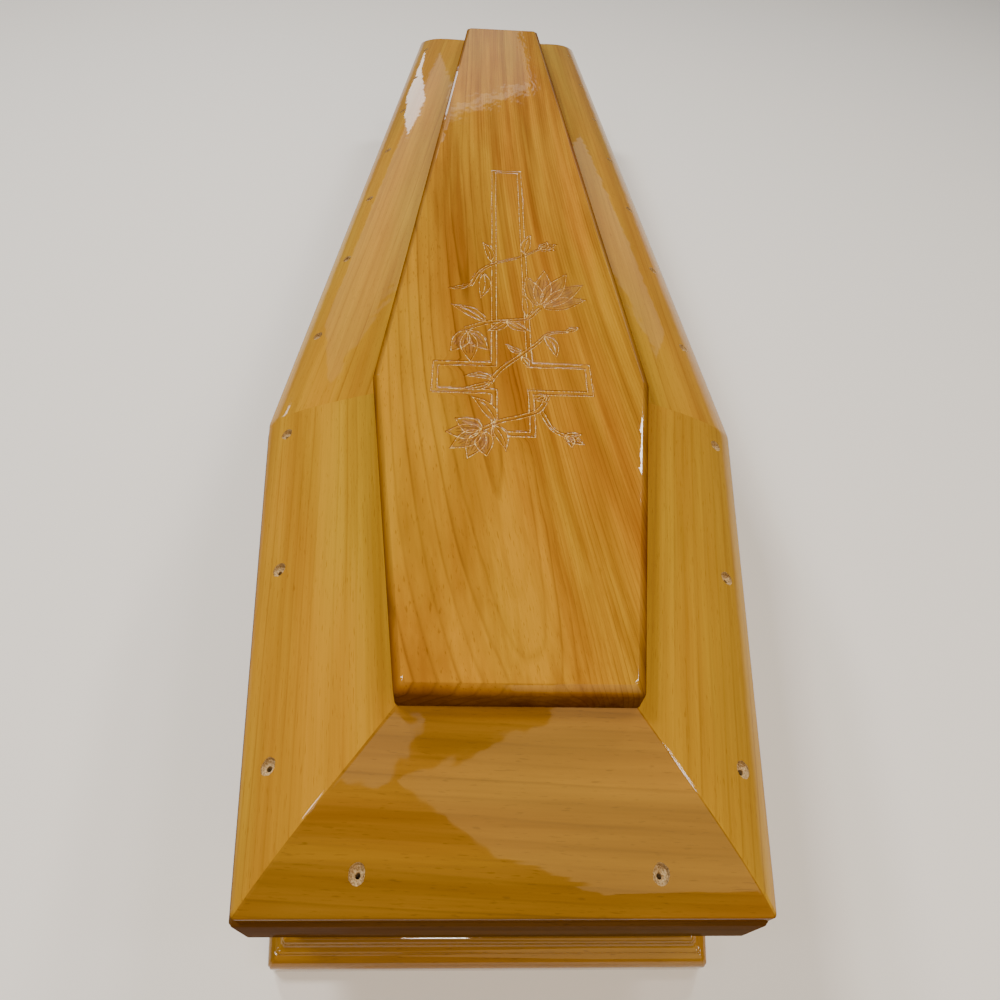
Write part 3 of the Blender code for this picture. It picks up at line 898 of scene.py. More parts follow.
def floor_mesh():
    """Six-sided board with eased edges, its grain along the coffin."""
    bm = bmesh.new()
    corners = [corner(i, WALL_INSET) for i in range(len(RIM))]
    lower = [bm.verts.new((p.x, p.y, 0.0)) for p in corners]
    upper = [bm.verts.new((p.x, p.y, FLOOR_THICKNESS)) for p in corners]
    for i in range(len(RIM)):
        j = (i + 1) % len(RIM)
        bm.faces.new((lower[i], lower[j], upper[j], upper[i]))
    bm.faces.new(lower[::-1])
    bm.faces.new(upper)
    bmesh.ops.bevel(bm, geom=bm.edges[:], offset=EASED, segments=2, profile=0.5, affect="EDGES")
    mesh = bpy.data.meshes.new("floor")
    bm.to_mesh(mesh)
    bm.free()
    return mesh


floor = floor_mesh()
LENGTHWAYS = [(0, 1, 0), (-1, 0, 0), (0, 0, 1)]
FLOOR_LEAN = (0.0, 0.02)
write_wood(floor, (0, 0, 0), LENGTHWAYS, random_heart(), FLOOR_LEAN)
finish_piece("floor_board", floor, [WALL_WOOD], "body_wood")
print("Floor board:", len(floor.polygons), "faces")

# %% [markdown]
# ## The slope boards of the lid
#
# Each is nearly flat under the top board and rolls over to the rim. Its rise is a
# straight slope plus a roll that dies away from the rim, and the section's points
# crowd together at the rim, where it turns the most. The top board sits on their
# flat upper edges.

# %% Section of a slope board
SLOPE_THICKNESS = 0.020
ROLL_RISE = 0.022
ROLL_LENGTH = 0.032
SEAT_WIDTH = 0.040
SEAT_EDGE = 0.009
SEAT_ARRIS = 0.001
PANEL_INSET = 0.149
PANEL_EDGE_INSET = 0.140
PANEL_OVERHANG = 0.005
SEAT_INSET = PANEL_EDGE_INSET + PANEL_OVERHANG
SEAT_HEIGHT = panel_low.z - GAP
FACE_STEPS = 36
CROWD_AT_RIM = 1.6
PANEL_SHIFT = (panel_low.x + panel_high.x) / 2 - LID_SHIFT


def rolled(inset):
    """Height that the roll has gained at this inset."""
    return ROLL_RISE * (1 - math.exp(-inset / ROLL_LENGTH))


SLOPE_GRADE = (SEAT_HEIGHT - RIM_HEIGHT - rolled(SEAT_INSET)) / SEAT_INSET


def slope_height(inset):
    """Outer face of the slope boards."""
    return RIM_HEIGHT + SLOPE_GRADE * inset + rolled(inset)


def slope_section():
    """The rim, the rolled outer face, the seat and the flat inner face."""
    outer = []
    for k in range(FACE_STEPS + 1):
        inset = SEAT_INSET * (k / FACE_STEPS) ** CROWD_AT_RIM
        outer.append((inset, slope_height(inset)))
    outer.insert(-1, (SEAT_INSET - SEAT_ARRIS, slope_height(SEAT_INSET - SEAT_ARRIS)))
    seat_end = SEAT_INSET + SEAT_WIDTH
    bearing = WALL_INSET + WALL_THICKNESS
    grade = SLOPE_GRADE + ROLL_RISE / ROLL_LENGTH * math.exp(-bearing / ROLL_LENGTH)
    underside = slope_height(bearing) - SLOPE_THICKNESS * math.hypot(1, grade)
    foot = RIM_HEIGHT - LID_EDGE
    inner = [
        (seat_end, SEAT_HEIGHT),
        (seat_end, SEAT_HEIGHT - SEAT_EDGE),
        (bearing, underside),
        (bearing, foot),
    ]
    return [(0.0, foot)] + outer + inner


def lid_drift(inset):
    """How far the lid lies to the right, more so towards its top board."""
    return Vector((LID_SHIFT + PANEL_SHIFT * inset / PANEL_INSET, 0.0))


print("Slope rises", round(SEAT_HEIGHT - RIM_HEIGHT, 4), "m over", SEAT_INSET, "m")

# %% [markdown]
# ## Screw holes
#
# Ten holes run down each long side and two cross each end: a wide counterbore
# with a flat floor, and a pilot hole on through the board. They are cut with a
# Boolean, and the cutter's raw wood passes to the faces that it leaves. A real
# drill wanders and tears, so the cutter's rim isn't quite round.

# %% Places of the screw holes
SCREW_INSET = 0.0265
COUNTERBORE_RADIUS = 0.00725
COUNTERBORE_DEPTH = 0.008
PILOT_RADIUS = 0.0024
END_SCREW_SPACING = 0.261
SHOULDER_SCREWS = (0.100, 0.036, 3)
LEG_SCREWS = (0.160, 0.106, 7)


def screw_places(side):
    """Centres of the screw holes of one side, in plan."""
    length = (RIM[(side + 1) % len(RIM)] - RIM[side]).length
    kind = SIDES[side].split("_")[0]
    if kind in ("shoulder", "leg"):
        start, margin, count = SHOULDER_SCREWS if kind == "shoulder" else LEG_SCREWS
        pitch = (length - start - margin) / (count - 1)
        distances = [start + pitch * k for k in range(count)]
    else:
        distances = [length / 2 - END_SCREW_SPACING / 2, length / 2 + END_SCREW_SPACING / 2]
    if SIDES[side].endswith("left"):
        distances = [length - distance for distance in distances]
    offset = inward(side) * SCREW_INSET + lid_drift(SCREW_INSET)
    return [RIM[side] + along(side) * distance + offset for distance in distances]


print("Holes:", sum(len(screw_places(side)) for side in range(len(SIDES))))

# %% The drill that cuts them
DRILL_SEGMENTS = 40
DRILL_WANDER = np.random.default_rng(5)
TEAR = 0.05
CONE_RADIUS = COUNTERBORE_RADIUS * 0.55
CONE_DEPTH = 0.0010
FLOOR_RISE = 0.0003
LIP = 0.001
LIP_FLARE = 1.02


def add_drill(bm, centre):
    """Stepped drill with a slightly torn counterbore, each step more or less torn."""
    surface = slope_height(SCREW_INSET)
    floor_height = surface - COUNTERBORE_DEPTH
    torn = 1 + TEAR * DRILL_WANDER.standard_normal(DRILL_SEGMENTS)
    torn = (torn + np.roll(torn, 1) + np.roll(torn, -1)) / 3
    rings = []
    for radius, height, tear in (
        (PILOT_RADIUS, RIM_HEIGHT - 2 * LID_EDGE, 0),
        (PILOT_RADIUS, floor_height - CONE_DEPTH, 0),
        (CONE_RADIUS, floor_height, 0.4),
        (COUNTERBORE_RADIUS, floor_height + FLOOR_RISE, 0.3),
        (COUNTERBORE_RADIUS, surface - LIP, 1),
        (COUNTERBORE_RADIUS * LIP_FLARE, surface + LID_EDGE, 1),
    ):
        ring = []
        for k in range(DRILL_SEGMENTS):
            angle = 2 * math.pi * k / DRILL_SEGMENTS
            reach = radius * (1 + tear * (torn[k] - 1))
            place = (centre.x + reach * math.cos(angle), centre.y + reach * math.sin(angle), height)
            ring.append(bm.verts.new(place))
        rings.append(ring)
    for lower, upper in zip(rings, rings[1:]):
        for i in range(DRILL_SEGMENTS):
            j = (i + 1) % DRILL_SEGMENTS
            bm.faces.new((lower[i], lower[j], upper[j], upper[i]))
    bm.faces.new(rings[0][::-1])
    bm.faces.new(rings[-1])


def drill_object(side):
    """One cutter for every hole of a side."""
    bm = bmesh.new()
    for centre in screw_places(side):
        add_drill(bm, centre)
    mesh = bpy.data.meshes.new("drill")
    bm.to_mesh(mesh)
    bm.free()
    mesh.materials.append(RAW_WOOD)
    drill = bpy.data.objects.new("drill", mesh)
    bpy.context.scene.collection.objects.link(drill)
    return drill


print("Drill:", DRILL_SEGMENTS, "sides, counterbore", COUNTERBORE_RADIUS * 2000, "mm across")

# %% Drill a board


def drilled(mesh, drill, material):
    """Cut a drill out of a board and return the new mesh."""
    mesh.materials.append(material)
    board = bpy.data.objects.new("blank", mesh)
    bpy.context.scene.collection.objects.link(board)
    cut = board.modifiers.new("holes", "BOOLEAN")
    cut.operation = "DIFFERENCE"
    cut.solver = "EXACT"
    cut.material_mode = "TRANSFER"
    cut.object = drill
    graph = bpy.context.evaluated_depsgraph_get()
    result = bpy.data.meshes.new_from_object(board.evaluated_get(graph))
    bpy.data.objects.remove(board)
    bpy.data.objects.remove(drill)
    return result


print("Each drill ends", round((RIM_HEIGHT - 2 * LID_EDGE) * 1000), "mm above the ground")

# %% [markdown]
# The rim's sawn edge is written on each slope board as the share "edge", which
# fades out as the face begins; there the wood is darkened, partly by stain and
# partly as painted shade, and its lacquer is thinner. The rim is rounded more
# than the lid's other edges, and that draws a soft line of light along it.

# %% Make and drill the slope boards
TILT = math.atan2(SEAT_HEIGHT - RIM_HEIGHT, SEAT_INSET)
RIM_ROUND = 0.004
SLOPE_LEAN = (0.02, 0.015)
EDGE_ENDS_ABOVE_RIM = 0.0015
EDGE_FADE = 0.002

for side, side_name in enumerate(SIDES):
    blank = board_mesh(side, eased(slope_section(), wide={1: RIM_ROUND}), lid_drift)
    # The head board takes the darker wood with its painted shade.
    finish = HEAD_WOOD_PAINTED_SHADE if side_name == "head" else LID_WOOD
    mesh = drilled(blank, drill_object(side), finish)
    write_wood(mesh, RIM[side].to_3d(), board_axes(side, TILT), random_heart(), SLOPE_LEAN)
    below = RIM_HEIGHT + EDGE_ENDS_ABOVE_RIM - heights(mesh)
    write_share(mesh, "edge", below / EDGE_FADE)
    finish_piece("lid_slope_" + side_name, mesh, [], "lid_wood")
    print("Slope board", side_name, "has", len(mesh.polygons), "faces")

# %% [markdown]
# ## The top board
#
# A router with a V-bit cut the cross and the vine. The board's face is flat but
# for those cuts, so it is made as a height field: every cut's middle, edges and
# the lines between are laid into one triangulation of the face, and each point
# is lowered by the depth of the cut there. The vine lies over the cross, so the
# cross's grooves stop where a leaf, a petal or a stem covers them.

# %% Curves and offsets
STEM_STEP = 0.004


def smooth_path(points, step):
    """Catmull-Rom curve through points, with a point about every step."""
    knots = [Vector(point) for point in points]
    knots = [2 * knots[0] - knots[1]] + knots + [2 * knots[-1] - knots[-2]]
    path = []
    for a, b, c, d in zip(knots, knots[1:], knots[2:], knots[3:]):
        count = max(1, round((c - b).length / step))
        for k in range(count):
            t = k / count
            linear = (c - a) * t
            square = (2 * a - 5 * b + 4 * c - d) * t ** 2
            cube = (3 * b - a - 3 * c + d) * t ** 3
            path.append((2 * b + linear + square + cube) / 2)
    path.append(knots[-2])
    return path


def side_normals(path):
    """Unit normals to the left of each point of a path, widened at mitres."""
    normals = []
    for i, point in enumerate(path):
        before = path[max(i - 1, 0)]
        after = path[min(i + 1, len(path) - 1)]
        arriving = (point - before if i > 0 else after - point).normalized()
        leaving = (after - point if i < len(path) - 1 else point - before).normalized()
        first = Vector((-arriving.y, arriving.x))
        second = Vector((-leaving.y, leaving.x))
        normals.append((first + second) / (1 + first.dot(second)))
    return normals


def shifted(path, offsets):
    """A path moved sideways by one offset at each of its points."""
    return [p + n * w for p, n, w in zip(path, side_normals(path), offsets)]


bend = smooth_path([(0.0, 0.0), (0.02, 0.01), (0.04, 0.0)], STEM_STEP)
print("A bend 40 mm long has", len(bend), "points")

# %% A cut of the V-bit, and a test of what a shape covers
VINE_GROOVE_WIDTH = 0.0030
CROSS_GROOVE_WIDTH = 0.0036
GROOVE_DEPTH = 0.0016
SCOOP_DEPTH = 0.0011
VEIN_WIDTH = 0.0016
VEIN_DEPTH = 0.0009


def groove(path, width, depth):
    """V-cut along a path, running out to a point at both ends."""
    lead = (path[0] - path[1]).normalized() * width
    tail = (path[-1] - path[-2]).normalized() * width
    run = [path[0] + lead] + path + [path[-1] + tail]
    half = [0.0] + [width / 2] * len(path) + [0.0]
    deep = [0.0] + [depth] * len(path) + [0.0]
    return run, half, deep


def inside(point, shape):
    """Even-odd test of a point against a closed outline."""
    crossed = False
    for a, b in zip(shape, shape[1:] + shape[:1]):
        if (a.y > point.y) != (b.y > point.y):
            meets = a.x + (point.y - a.y) * (b.x - a.x) / (b.y - a.y)
            crossed ^= point.x < meets
    return crossed


steepness = math.degrees(math.atan2(GROOVE_DEPTH, VINE_GROOVE_WIDTH / 2))
print("The walls of a vine's groove slope", round(steepness), "degrees on average")

# %% [markdown]
# The vine is drawn in millimetres from the cross's centre, x to the right and y
# towards the foot. It keeps its grooves and its hollows apart, and the outline of
# each shape too, because the cross's lines have to stop at those.

# %% The vine's cuts and shapes
VINE_UNIT = 0.001


class Vine:
    """Grooves and scoops of the flowering vine, and the shapes that hide the cross."""

    def __init__(self, centre):
        """Start with a bare board."""
        self.centre = Vector(centre)
        self.cuts = []
        self.scoops = []
        self.shapes = []

    def place(self, point):
        """A place on the board, in metres."""
        return self.centre + Vector(point) * VINE_UNIT

    def outline(self, left, right):
        """Cut both edges of a shape, and keep the shape itself."""
        self.cuts.append(groove(left, VINE_GROOVE_WIDTH, GROOVE_DEPTH))
        self.cuts.append(groove(right, VINE_GROOVE_WIDTH, GROOVE_DEPTH))
        self.shapes.append(left + right[::-1])

    def covers(self, point):
        """Whether a leaf, petal or stem lies over this point."""
        return any(inside(point, shape) for shape in self.shapes)


print("Ten units of the vine are", round(Vine((0, 0)).place((10, 0)).x * 1000), "mm on the board")

# %% [markdown]
# A stem is left standing between two grooves. A leaf is its outline and a groove
# for its midrib, which ends short of the tip, where the outline's grooves meet.

# %% Stems and leaves
STEM_WIDTH = 0.0055
STEM_END = 0.45
BLADE_STEPS = 14
BLADE_FULLNESS = 0.8
RIB_SPAN = (0, -3)


def add_stem(vine, points, start_width=1.0, end_width=STEM_END):
    """A raised stem between two grooves, narrower at its end."""
    path = smooth_path([vine.place(p) for p in points], STEM_STEP)
    last = len(path) - 1
    spread = []
    for i in range(len(path)):
        share = start_width + (end_width - start_width) * i / last
        spread.append(STEM_WIDTH / 2 * share)
    vine.outline(shifted(path, spread), shifted(path, [-s for s in spread]))


def blade(vine, base, tip, width, bow):
    """Midrib and both edges of a leaf or petal, bowed to one side."""
    start, end = vine.place(base), vine.place(tip)
    across = Vector((start.y - end.y, end.x - start.x)).normalized()
    rib, left, right = [], [], []
    for k in range(BLADE_STEPS + 1):
        t = k / BLADE_STEPS
        middle = start.lerp(end, t) + across * (bow * VINE_UNIT * 4 * t * (1 - t))
        half = width * VINE_UNIT / 2 * math.sin(math.pi * t ** BLADE_FULLNESS)
        rib.append(middle)
        left.append(middle + across * half)
        right.append(middle - across * half)
    return rib, left, right


def add_leaf(vine, base, tip, width, bow):
    """Pointed leaf: its outline and a groove for the midrib."""
    rib, left, right = blade(vine, base, tip, width, bow)
    vine.outline(left, right)
    first, last = RIB_SPAN
    vine.cuts.append(groove(rib[first:last], VINE_GROOVE_WIDTH, GROOVE_DEPTH))


trial = Vine((0, 0))
add_leaf(trial, (0, 0), (50, 0), 15, 3)
print("A leaf has", len(trial.cuts), "grooves, with", len(trial.cuts[0][0]), "points along its edge")

# %% [markdown]
# A petal is hollowed by a gouge and has three veins. An open flower is a fan of
# petals. The middle one is the longest, and the tips of the others curl outwards.

# %% Petals and flowers
VEIN_PLACES = (-0.5, 0.0, 0.5)
VEIN_SPAN = (3, -4)
PETAL_START = 0.12
PETAL_SHORTENING = 0.22
PETAL_BOW = -3.0


def add_petal(vine, base, tip, width, bow):
    """Petal: its outline, a shallow scoop inside it, and three veins."""
    rib, left, right = blade(vine, base, tip, width, bow)
    vine.outline(left, right)
    half = [(a - b).length / 2 for a, b in zip(left, right)]
    widest = max(half)
    deep = [SCOOP_DEPTH * h / widest for h in half]
    vine.scoops.append((rib, half, deep))
    first, last = VEIN_SPAN
    for share in VEIN_PLACES:
        vein = [r.lerp(e, abs(share)) for r, e in zip(rib, left if share < 0 else right)]
        vine.cuts.append(groove(vein[first:last], VEIN_WIDTH, VEIN_DEPTH))


def add_flower(vine, base, tip, spread, petals, width):
    """Open flower: petals fanned out from its base, the middle one longest."""
    start, end = Vector(base), Vector(tip)
    axis = end - start
    for k in range(petals):
        share = 2 * k / (petals - 1) - 1
        angle = math.radians(spread * share)
        reach = axis * (1 - PETAL_SHORTENING * share ** 2)
        turned = Vector((
            reach.x * math.cos(angle) - reach.y * math.sin(angle),
            reach.x * math.sin(angle) + reach.y * math.cos(angle),
        ))
        add_petal(vine, start + turned * PETAL_START, start + turned, width, PETAL_BOW * share)


trial = Vine((0, 0))
add_flower(trial, (0, 0), (50, 0), 40, 5, 20)
print("A flower of 5 petals takes", len(trial.cuts), "grooves and", len(trial.scoops), "scoops")

# %% Grow the vine
CENTRE_FROM_HEAD = 0.520
PANEL_CENTRE = Vector(((panel_low.x + panel_high.x) / 2, HEAD_Y + CENTRE_FROM_HEAD))


def grow_vine(centre):
    """The whole vine: three stems across the cross, with leaves and flowers."""
    vine = Vine(centre)
    add_stem(vine, [(-60, 188), (-46, 222), (-24, 243), (2, 254), (28, 268), (48, 284)])
    add_flower(vine, (48, 284), (80, 300), 26, 3, 13)
    add_leaf(vine, (26, 272), (38, 322), 15, 3)
    add_leaf(vine, (-29, 250), (-42, 298), 13, -4)
    add_leaf(vine, (-58, 192), (-92, 180), 9, 3)
    add_leaf(vine, (-40, 216), (-44, 160), 18, 4)
    add_stem(vine, [(-64, 92), (-34, 106), (0, 112), (26, 118), (44, 140)], 1.2, 0.8)
    add_flower(vine, (42, 138), (90, 222), 42, 5, 27)
    add_leaf(vine, (24, 122), (20, 172), 16, -4)
    add_leaf(vine, (-4, 113), (-32, 90), 14, 3)
    add_leaf(vine, (-6, 111), (26, 92), 14, -3)
    add_leaf(vine, (-36, 108), (-86, 142), 17, -4)
    add_flower(vine, (-62, 94), (-56, 28), 30, 3, 24)
    add_stem(vine, [(82, 92), (54, 86), (36, 66), (8, 38), (-16, 14), (-30, -10)], 0.6, 1.0)
    add_leaf(vine, (80, 92), (98, 100), 8, 1)
    add_leaf(vine, (48, 82), (62, 42), 15, 4)
    add_leaf(vine, (16, 48), (-6, 62), 9, 3)
    add_leaf(vine, (14, 40), (22, 20), 9, 2)
    add_leaf(vine, (-24, -2), (-62, 2), 9, -4)
    add_leaf(vine, (-28, -8), (-66, -20), 9, 3)
    add_stem(vine, [(46, -28), (34, -52), (10, -64), (-16, -72), (-36, -84)], 1.1, 0.8)
    add_leaf(vine, (44, -30), (30, -36), 9, 2)
    add_leaf(vine, (-22, -74), (-52, -34), 16, -5)
    add_leaf(vine, (-26, -78), (-10, -116), 14, 4)
    add_flower(vine, (-34, -84), (-76, -114), 56, 5, 22)
    add_stem(vine, [(36, -56), (48, -82), (66, -94)], 0.9, 0.6)
    add_flower(vine, (62, -90), (84, -104), 34, 3, 11)
    return vine


vine = grow_vine(PANEL_CENTRE)
print("The vine has", len(vine.shapes), "shapes, cut by", len(vine.cuts), "grooves")

# %% The cross behind the vine
CROSS_LIMB_WIDTH = 0.055
CROSSBAR_LENGTH = 0.212
CROSS_HEAD_LIMB = 0.095
CROSS_FOOT_LIMB = 0.529
CROSS_LINE_SPACING = 0.007
OUTLINE_STEP = 0.001
SHORTEST_RUN = 3


def cross_outline(centre, inset):
    """Corners of the Latin cross, drawn in by inset."""
    limb = CROSS_LIMB_WIDTH / 2 - inset
    arm = CROSSBAR_LENGTH / 2 - inset
    head = inset - CROSS_HEAD_LIMB
    foot = CROSS_FOOT_LIMB - inset
    right = [(limb, head), (limb, -limb), (arm, -limb), (arm, limb), (limb, limb), (limb, foot)]
    left = [(-x, y) for x, y in reversed(right)]
    return [Vector(centre) + Vector(point) for point in right + left]


def uncovered_runs(corners, covers):
    """Stretches of a closed outline that the vine leaves open, by its sampled points."""
    samples = []
    for a, b in zip(corners, corners[1:] + corners[:1]):
        count = max(2, round((b - a).length / OUTLINE_STEP))
        for k in range(count):
            samples.append((a.lerp(b, k / count), k == 0))
    hidden = [covers(point) for point, _ in samples]
    start = hidden.index(True) if True in hidden else 0
    runs, run = [], []
    for i in range(start, start + len(samples)):
        if not hidden[i % len(samples)]:
            run.append(samples[i % len(samples)])
            continue
        if len(run) > SHORTEST_RUN:
            runs.append(run)
        run = []
    if len(run) > SHORTEST_RUN:
        runs.append(run)
    return [
        [run[0][0]] + [point for point, is_corner in run[1:-1] if is_corner] + [run[-1][0]]
        for run in runs
    ]


cuts = list(vine.cuts)
for line_inset in (0.0, CROSS_LINE_SPACING):
    for path in uncovered_runs(cross_outline(PANEL_CENTRE, line_inset), vine.covers):
        cuts.append(groove(path, CROSS_GROOVE_WIDTH, GROOVE_DEPTH))
all_cuts = cuts + vine.scoops
print("The carving has", len(cuts), "grooves and", len(vine.scoops), "scoops")

# %% Depth of the carving at any place


def cut_depths(places, cuts):
    """How deep the cuts are at each place, with lips and floors that lacquer rounds.

    The tiny numbers in it only keep a division by nothing from failing.
    """
    deepest = np.zeros(len(places))
    for path, half, deep in cuts:
        spine = np.array([tuple(point) for point in path])
        reach = max(half)
        low, high = spine.min(axis=0) - reach, spine.max(axis=0) + reach
        near = np.flatnonzero(np.all((places >= low) & (places <= high), axis=1))
        if not len(near):
            continue
        local = places[near]
        best = np.zeros(len(near))
        for i in range(len(path) - 1):
            run = spine[i + 1] - spine[i]
            t = np.clip((local - spine[i]) @ run / max(run @ run, 1e-12), 0, 1)
            distance = np.linalg.norm(local - spine[i] - t[:, None] * run, axis=1)
            width = half[i] + (half[i + 1] - half[i]) * t
            depth = deep[i] + (deep[i + 1] - deep[i]) * t
            share = np.clip(1 - distance / np.maximum(width, 1e-9), 0, 1)
            best = np.maximum(best, depth * share * share * (3 - 2 * share))
        deepest[near] = np.maximum(deepest[near], best)
    return deepest


first_knot = np.array([tuple(cuts[0][0][1])])
print("The first cut is", round(cut_depths(first_knot, cuts)[0] * 1000, 2), "mm deep at its start")

# %% [markdown]
# The board's outline has small rounded corners. One function gives its outline
# at any inset, always with the same number of points, so the rings of the arris,
# the bevel, the edge and the underside join up one to one.

# %% Rings round the top board
CORNER_RADIUS = 0.005
CORNER_STEPS = 5
FACE_GRID = 0.014
PANEL_BEVEL_DROP = 0.006
ARRIS = 0.0016


def panel_ring(inset):
    """Outline of the top board at this inset, round at its corners."""
    points = []
    for i in range(len(RIM)):
        centre = corner(i, inset + CORNER_RADIUS) + lid_drift(PANEL_INSET)
        after = corner(i + 1, inset + CORNER_RADIUS) + lid_drift(PANEL_INSET)
        first = -inward(i - 1)
        second = -inward(i)
        for k in range(CORNER_STEPS):
            direction = first.lerp(second, k / CORNER_STEPS).normalized()
            points.append(centre + direction * CORNER_RADIUS)
        length = (corner(i + 1, PANEL_INSET) - corner(i, PANEL_INSET)).length
        count = max(2, round(length / FACE_GRID))
        for k in range(count):
            points.append(centre.lerp(after, k / count) + second * CORNER_RADIUS)
    return points


def panel_rings():
    """Inset and height of each ring, from the face's border to the underside.

    Two rings stand close together at each turn, so that only the turn is round.
    """
    top = panel_high.z
    bevel_foot = top - PANEL_BEVEL_DROP
    grade = PANEL_BEVEL_DROP / (PANEL_INSET - PANEL_EDGE_INSET)
    return [
        (PANEL_INSET - ARRIS * 0.35, top - ARRIS * 0.10),
        (PANEL_INSET - ARRIS, top - ARRIS * grade),
        (PANEL_INSET - ARRIS * 1.2, top - ARRIS * 1.2 * grade),
        (PANEL_EDGE_INSET + ARRIS * 1.1, bevel_foot + ARRIS * 1.1 * grade),
        (PANEL_EDGE_INSET + ARRIS * 0.9, bevel_foot + ARRIS * 0.9 * grade),
        (PANEL_EDGE_INSET + ARRIS * 0.3, bevel_foot - ARRIS * 0.1),
        (PANEL_EDGE_INSET, bevel_foot - ARRIS),
        (PANEL_EDGE_INSET, panel_low.z + ARRIS),
        (PANEL_EDGE_INSET + ARRIS * 0.3, panel_low.z + ARRIS * 0.3),
        (PANEL_EDGE_INSET + ARRIS, panel_low.z),
    ]


FACE_BORDER = panel_ring(PANEL_INSET + ARRIS * 0.6)
print("Face border:", len(FACE_BORDER), "points")

# %% Triangulate the carved face
LINES_ACROSS = (0.0, 0.3, 0.55, 0.8, 1.0)
MERGE_WITHIN = 2e-5


def carved_face(border, cuts):
    """Triangles of the face: lines along every cut, and a grid to carry the grain.

    Grid points close to the board's sides are left out, as they would make slivers.
    """
    points = list(border)
    edges = [(i, (i + 1) % len(border)) for i in range(len(border))]
    for path, half, _ in cuts:
        for share in LINES_ACROSS:
            for sign in ((1, -1) if share else (1,)):
                first = len(points)
                line = shifted(path, [h * share * sign for h in half])
                points.extend(line)
                edges.extend((first + i, first + i + 1) for i in range(len(line) - 1))
    low = Vector((min(p.x for p in border), min(p.y for p in border)))
    high = Vector((max(p.x for p in border), max(p.y for p in border)))
    for i in range(1, int((high.x - low.x) / FACE_GRID) + 1):
        for j in range(1, int((high.y - low.y) / FACE_GRID) + 1):
            point = low + Vector((i, j)) * FACE_GRID
            margin = min(abs(point.x - low.x), abs(point.x - high.x))
            if margin > FACE_GRID / 3 and inside(point, border):
                points.append(point)
    result = delaunay_2d_cdt(points, edges, [], 0, MERGE_WITHIN)
    return np.array([tuple(p) for p in result[0]]), result[2]


places, triangles = carved_face(FACE_BORDER, all_cuts)
depths = cut_depths(places, all_cuts)
print("Carved face:", len(places), "points,", len(triangles), "triangles")

# %% Build the top board


def panel_mesh():
    """Carved face, eased arris, bevel, edge and flat underside in one mesh."""
    bm = bmesh.new()
    top = panel_high.z
    face = [bm.verts.new((x, y, top - d)) for (x, y), d in zip(places, depths)]
    for triangle in triangles:
        bm.faces.new([face[i] for i in triangle])
    border = []
    for point in FACE_BORDER:
        nearest = np.argmin(np.linalg.norm(places - np.array(point), axis=1))
        border.append(face[nearest])
    rings = [border]
    for inset, height in panel_rings():
        rings.append([bm.verts.new((p.x, p.y, height)) for p in panel_ring(inset)])
    for upper, lower in zip(rings, rings[1:]):
        for i in range(len(upper)):
            j = (i + 1) % len(upper)
            bm.faces.new((upper[i], lower[i], lower[j], upper[j]))
    bm.faces.new(rings[-1][::-1])
    mesh = bpy.data.meshes.new("panel")
    bm.to_mesh(mesh)
    bm.free()
    return mesh


panel = panel_mesh()
print("Top board:", len(panel.polygons), "faces")

# %% [markdown]
# Smooth shading would smear a groove's slope over the long flat triangles beside
# it. So the face's normals are worked out from the depth itself, by measuring
# how it changes a tenth of a millimetre to each side, and a triangle that no
# cut touches is given straight-up normals.

# %% Normals of the carving, from its own depth
PROBE = 0.0001
UNTOUCHED = 1e-6


def face_normals():
    """Normal of the carved face at each of its points."""
    right = cut_depths(places + (PROBE, 0), all_cuts) - cut_depths(places - (PROBE, 0), all_cuts)
    up = cut_depths(places + (0, PROBE), all_cuts) - cut_depths(places - (0, PROBE), all_cuts)
    normals = np.stack([right, up, np.full(len(places), 2 * PROBE)], axis=1)
    return normals / np.linalg.norm(normals, axis=1)[:, None]


def untouched_triangles():
    """Which triangles of the face no cut reaches."""
    corners = np.array([list(triangle) for triangle in triangles])
    middles = cut_depths(places[corners].mean(axis=1), all_cuts)
    return (depths[corners].max(axis=1) < UNTOUCHED) & (middles < UNTOUCHED)


normals = face_normals()
print("Steepest wall of a cut:", round(math.degrees(math.acos(normals[:, 2].min()))), "degrees")

# %% Write the depth of the cuts, for their painted shade and highlight, and the chatter
SCOOP_CHATTER = 0.8
SCOOP_REACH = 2.5


def write_carving(mesh):
    """Write the grooves' depth, which the shader paints as shade at the lips and a highlight in the
    middle, and where the cutter chattered.
    """
    cut = np.zeros(len(mesh.vertices))
    cut[:len(places)] = cut_depths(places, cuts) / GROOVE_DEPTH
    scoop = np.zeros(len(mesh.vertices))
    scoop[:len(places)] = cut_depths(places, vine.scoops) / SCOOP_DEPTH
    scooped = SCOOP_CHATTER * np.minimum(1, SCOOP_REACH * scoop)
    write_share(mesh, "cut", cut)
    write_share(mesh, "chatter", np.maximum(cut, scooped))


write_carving(panel)
print("Points in the cuts:", int((depths > UNTOUCHED).sum()), "of", len(places))

# %% [markdown]
# The top board was sawn close to the heart of a crooked log. Towards the head
# end the heart dips away under the board, which draws one long pointed arch, and
# the log drifts to the right there. On the right side of the board the rings
# crowd together into fine dark lines, and on the left they are few and wide.

# %% Saw the top board out of a crooked log
HEART_DEPTH = 0.022
HEART_DIP = 0.034
DIP_LENGTH = 0.20
HEART_DRIFT = 0.19
DRIFT_FROM = -0.2
DRIFT_TURN = 0.25
DRIFT_AT_REST = 0.11
RINGS_CROWD = 0.9
CROWD_FROM = -0.05
RINGS_SPREAD = 0.45
SPREAD_FROM = 0.03
UP_ITS_LOG = 3.1


